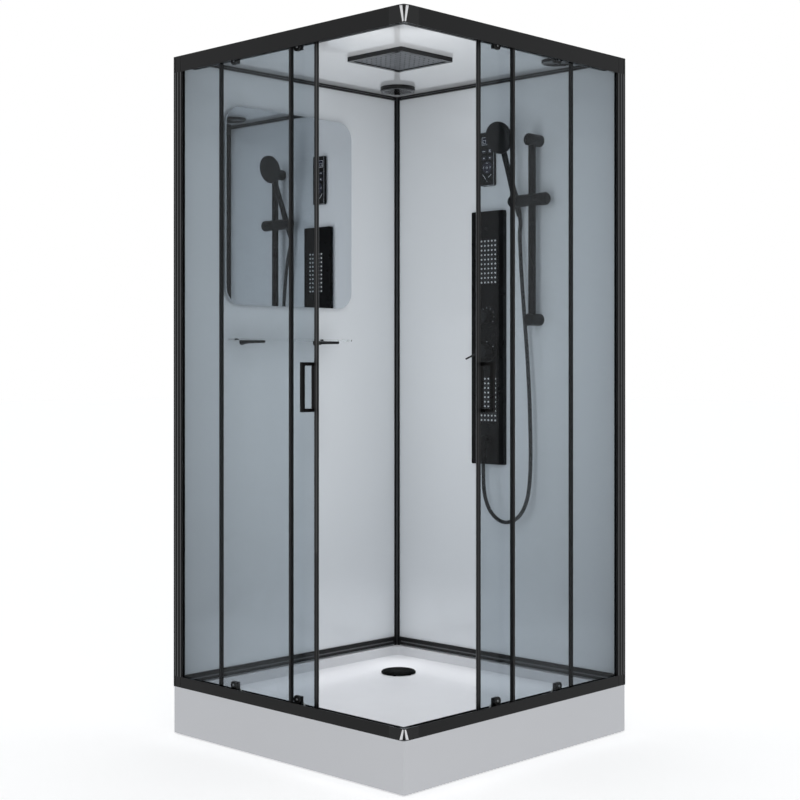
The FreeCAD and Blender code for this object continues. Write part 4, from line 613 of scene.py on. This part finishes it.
# ---------------------------------------------------------------- floor, sky and lamps
SKY_COLOUR, SKY_STRENGTH = (0.97, 0.985, 1, 1), 0.60
plane = bpy.data.meshes.new("floor")
plane.from_pydata([(-40, -40, 0), (40, -40, 0), (40, 40, 0), (-40, 40, 0)], [], [(0, 1, 2, 3)])
floor = bpy.data.objects.new("floor", plane)
scene.collection.objects.link(floor)
plane.materials.append(material("floor", (0.93, 0.93, 0.93), 0.8, shade=0.004, rough_shift=0.02))

floor_shader = plane.materials[0].node_tree.nodes["Principled BSDF"]
floor_shader.inputs["Emission Color"].default_value = (1, 1, 1, 1)
floor_shader.inputs["Emission Strength"].default_value = 0.45
# In reflections the floor is as bright as the sky, so no horizon shows in the panes.
floor_tree = plane.materials[0].node_tree
even = floor_tree.nodes.new("ShaderNodeEmission")
even.inputs["Color"].default_value = SKY_COLOUR
even.inputs["Strength"].default_value = SKY_STRENGTH
ray, either = floor_tree.nodes.new("ShaderNodeLightPath"), floor_tree.nodes.new("ShaderNodeMixShader")
floor_tree.links.new(ray.outputs["Is Glossy Ray"], either.inputs["Fac"])
floor_tree.links.new(floor_shader.outputs["BSDF"], either.inputs[1])
floor_tree.links.new(even.outputs["Emission"], either.inputs[2])
floor_tree.links.new(either.outputs["Shader"], floor_tree.nodes["Material Output"].inputs["Surface"])

world = bpy.data.worlds.new("studio")
scene.world = world
world.use_nodes = True
sky = world.node_tree
soft, backdrop = sky.nodes["Background"], sky.nodes.new("ShaderNodeBackground")
soft.inputs["Color"].default_value = SKY_COLOUR
soft.inputs["Strength"].default_value = SKY_STRENGTH
backdrop.inputs["Color"].default_value = (1, 1, 1, 1)
backdrop.inputs["Strength"].default_value = 1.0
seen, choose = sky.nodes.new("ShaderNodeLightPath"), sky.nodes.new("ShaderNodeMixShader")

# The backdrop is as white through a pane as beside it.
bounces = math_result(sky, "ADD", seen.outputs["Diffuse Depth"], seen.outputs["Glossy Depth"])
straight = math_result(sky, "LESS_THAN", bounces, 0.5)
through = math_result(sky, "MULTIPLY", seen.outputs["Is Transmission Ray"], straight)
sky.links.new(math_result(sky, "MAXIMUM", seen.outputs["Is Camera Ray"], through), choose.inputs["Fac"])
sky.links.new(soft.outputs["Background"], choose.inputs[1])
sky.links.new(backdrop.outputs["Background"], choose.inputs[2])
sky.links.new(choose.outputs["Shader"], sky.nodes["World Output"].inputs["Surface"])


def lamp(name, at, toward, size, power, spread=180):
    """A soft rectangular lamp that isn't itself seen, straight, mirrored or through glass."""
    data = bpy.data.lights.new(name, "AREA")
    data.shape = "RECTANGLE"
    data.size, data.size_y = size
    data.energy = power
    data.spread = math.radians(spread)
    obj = bpy.data.objects.new(name, data)
    scene.collection.objects.link(obj)
    obj.location = at
    obj.rotation_euler = (Vector(toward) - Vector(at)).to_track_quat("-Z", "Y").to_euler()
    obj.visible_glossy = obj.visible_camera = obj.visible_transmission = False


lamp("key", (4.5, -2.5, 4.0), (0, 0, 1), (3, 3), 25)
lamp("inner_front", (0.30, -0.30, 1.34), (-0.5, 0.5, 1.34), (0.5, 1.45), 4.0)
lamp("inner_down", (0.0, 0.0, 0.62), (0.0, 0.0, 0), (0.88, 0.88), 1.45, 40)
lamp("west_edge", (-0.385, 0.0, 0.45), (-0.385, 0.0, 0), (0.16, 0.88), 0.26, 60)
lamp("north_edge", (0.0, 0.385, 0.45), (0.0, 0.385, 0), (0.88, 0.16), 0.26, 60)
lamp("inner_up", (0.0, 0.0, 0.25), (0.0, 0.0, 2), (0.7, 0.7), 0.68, 60)
scene.view_settings.view_transform = "Standard"
scene.view_settings.look = "None"
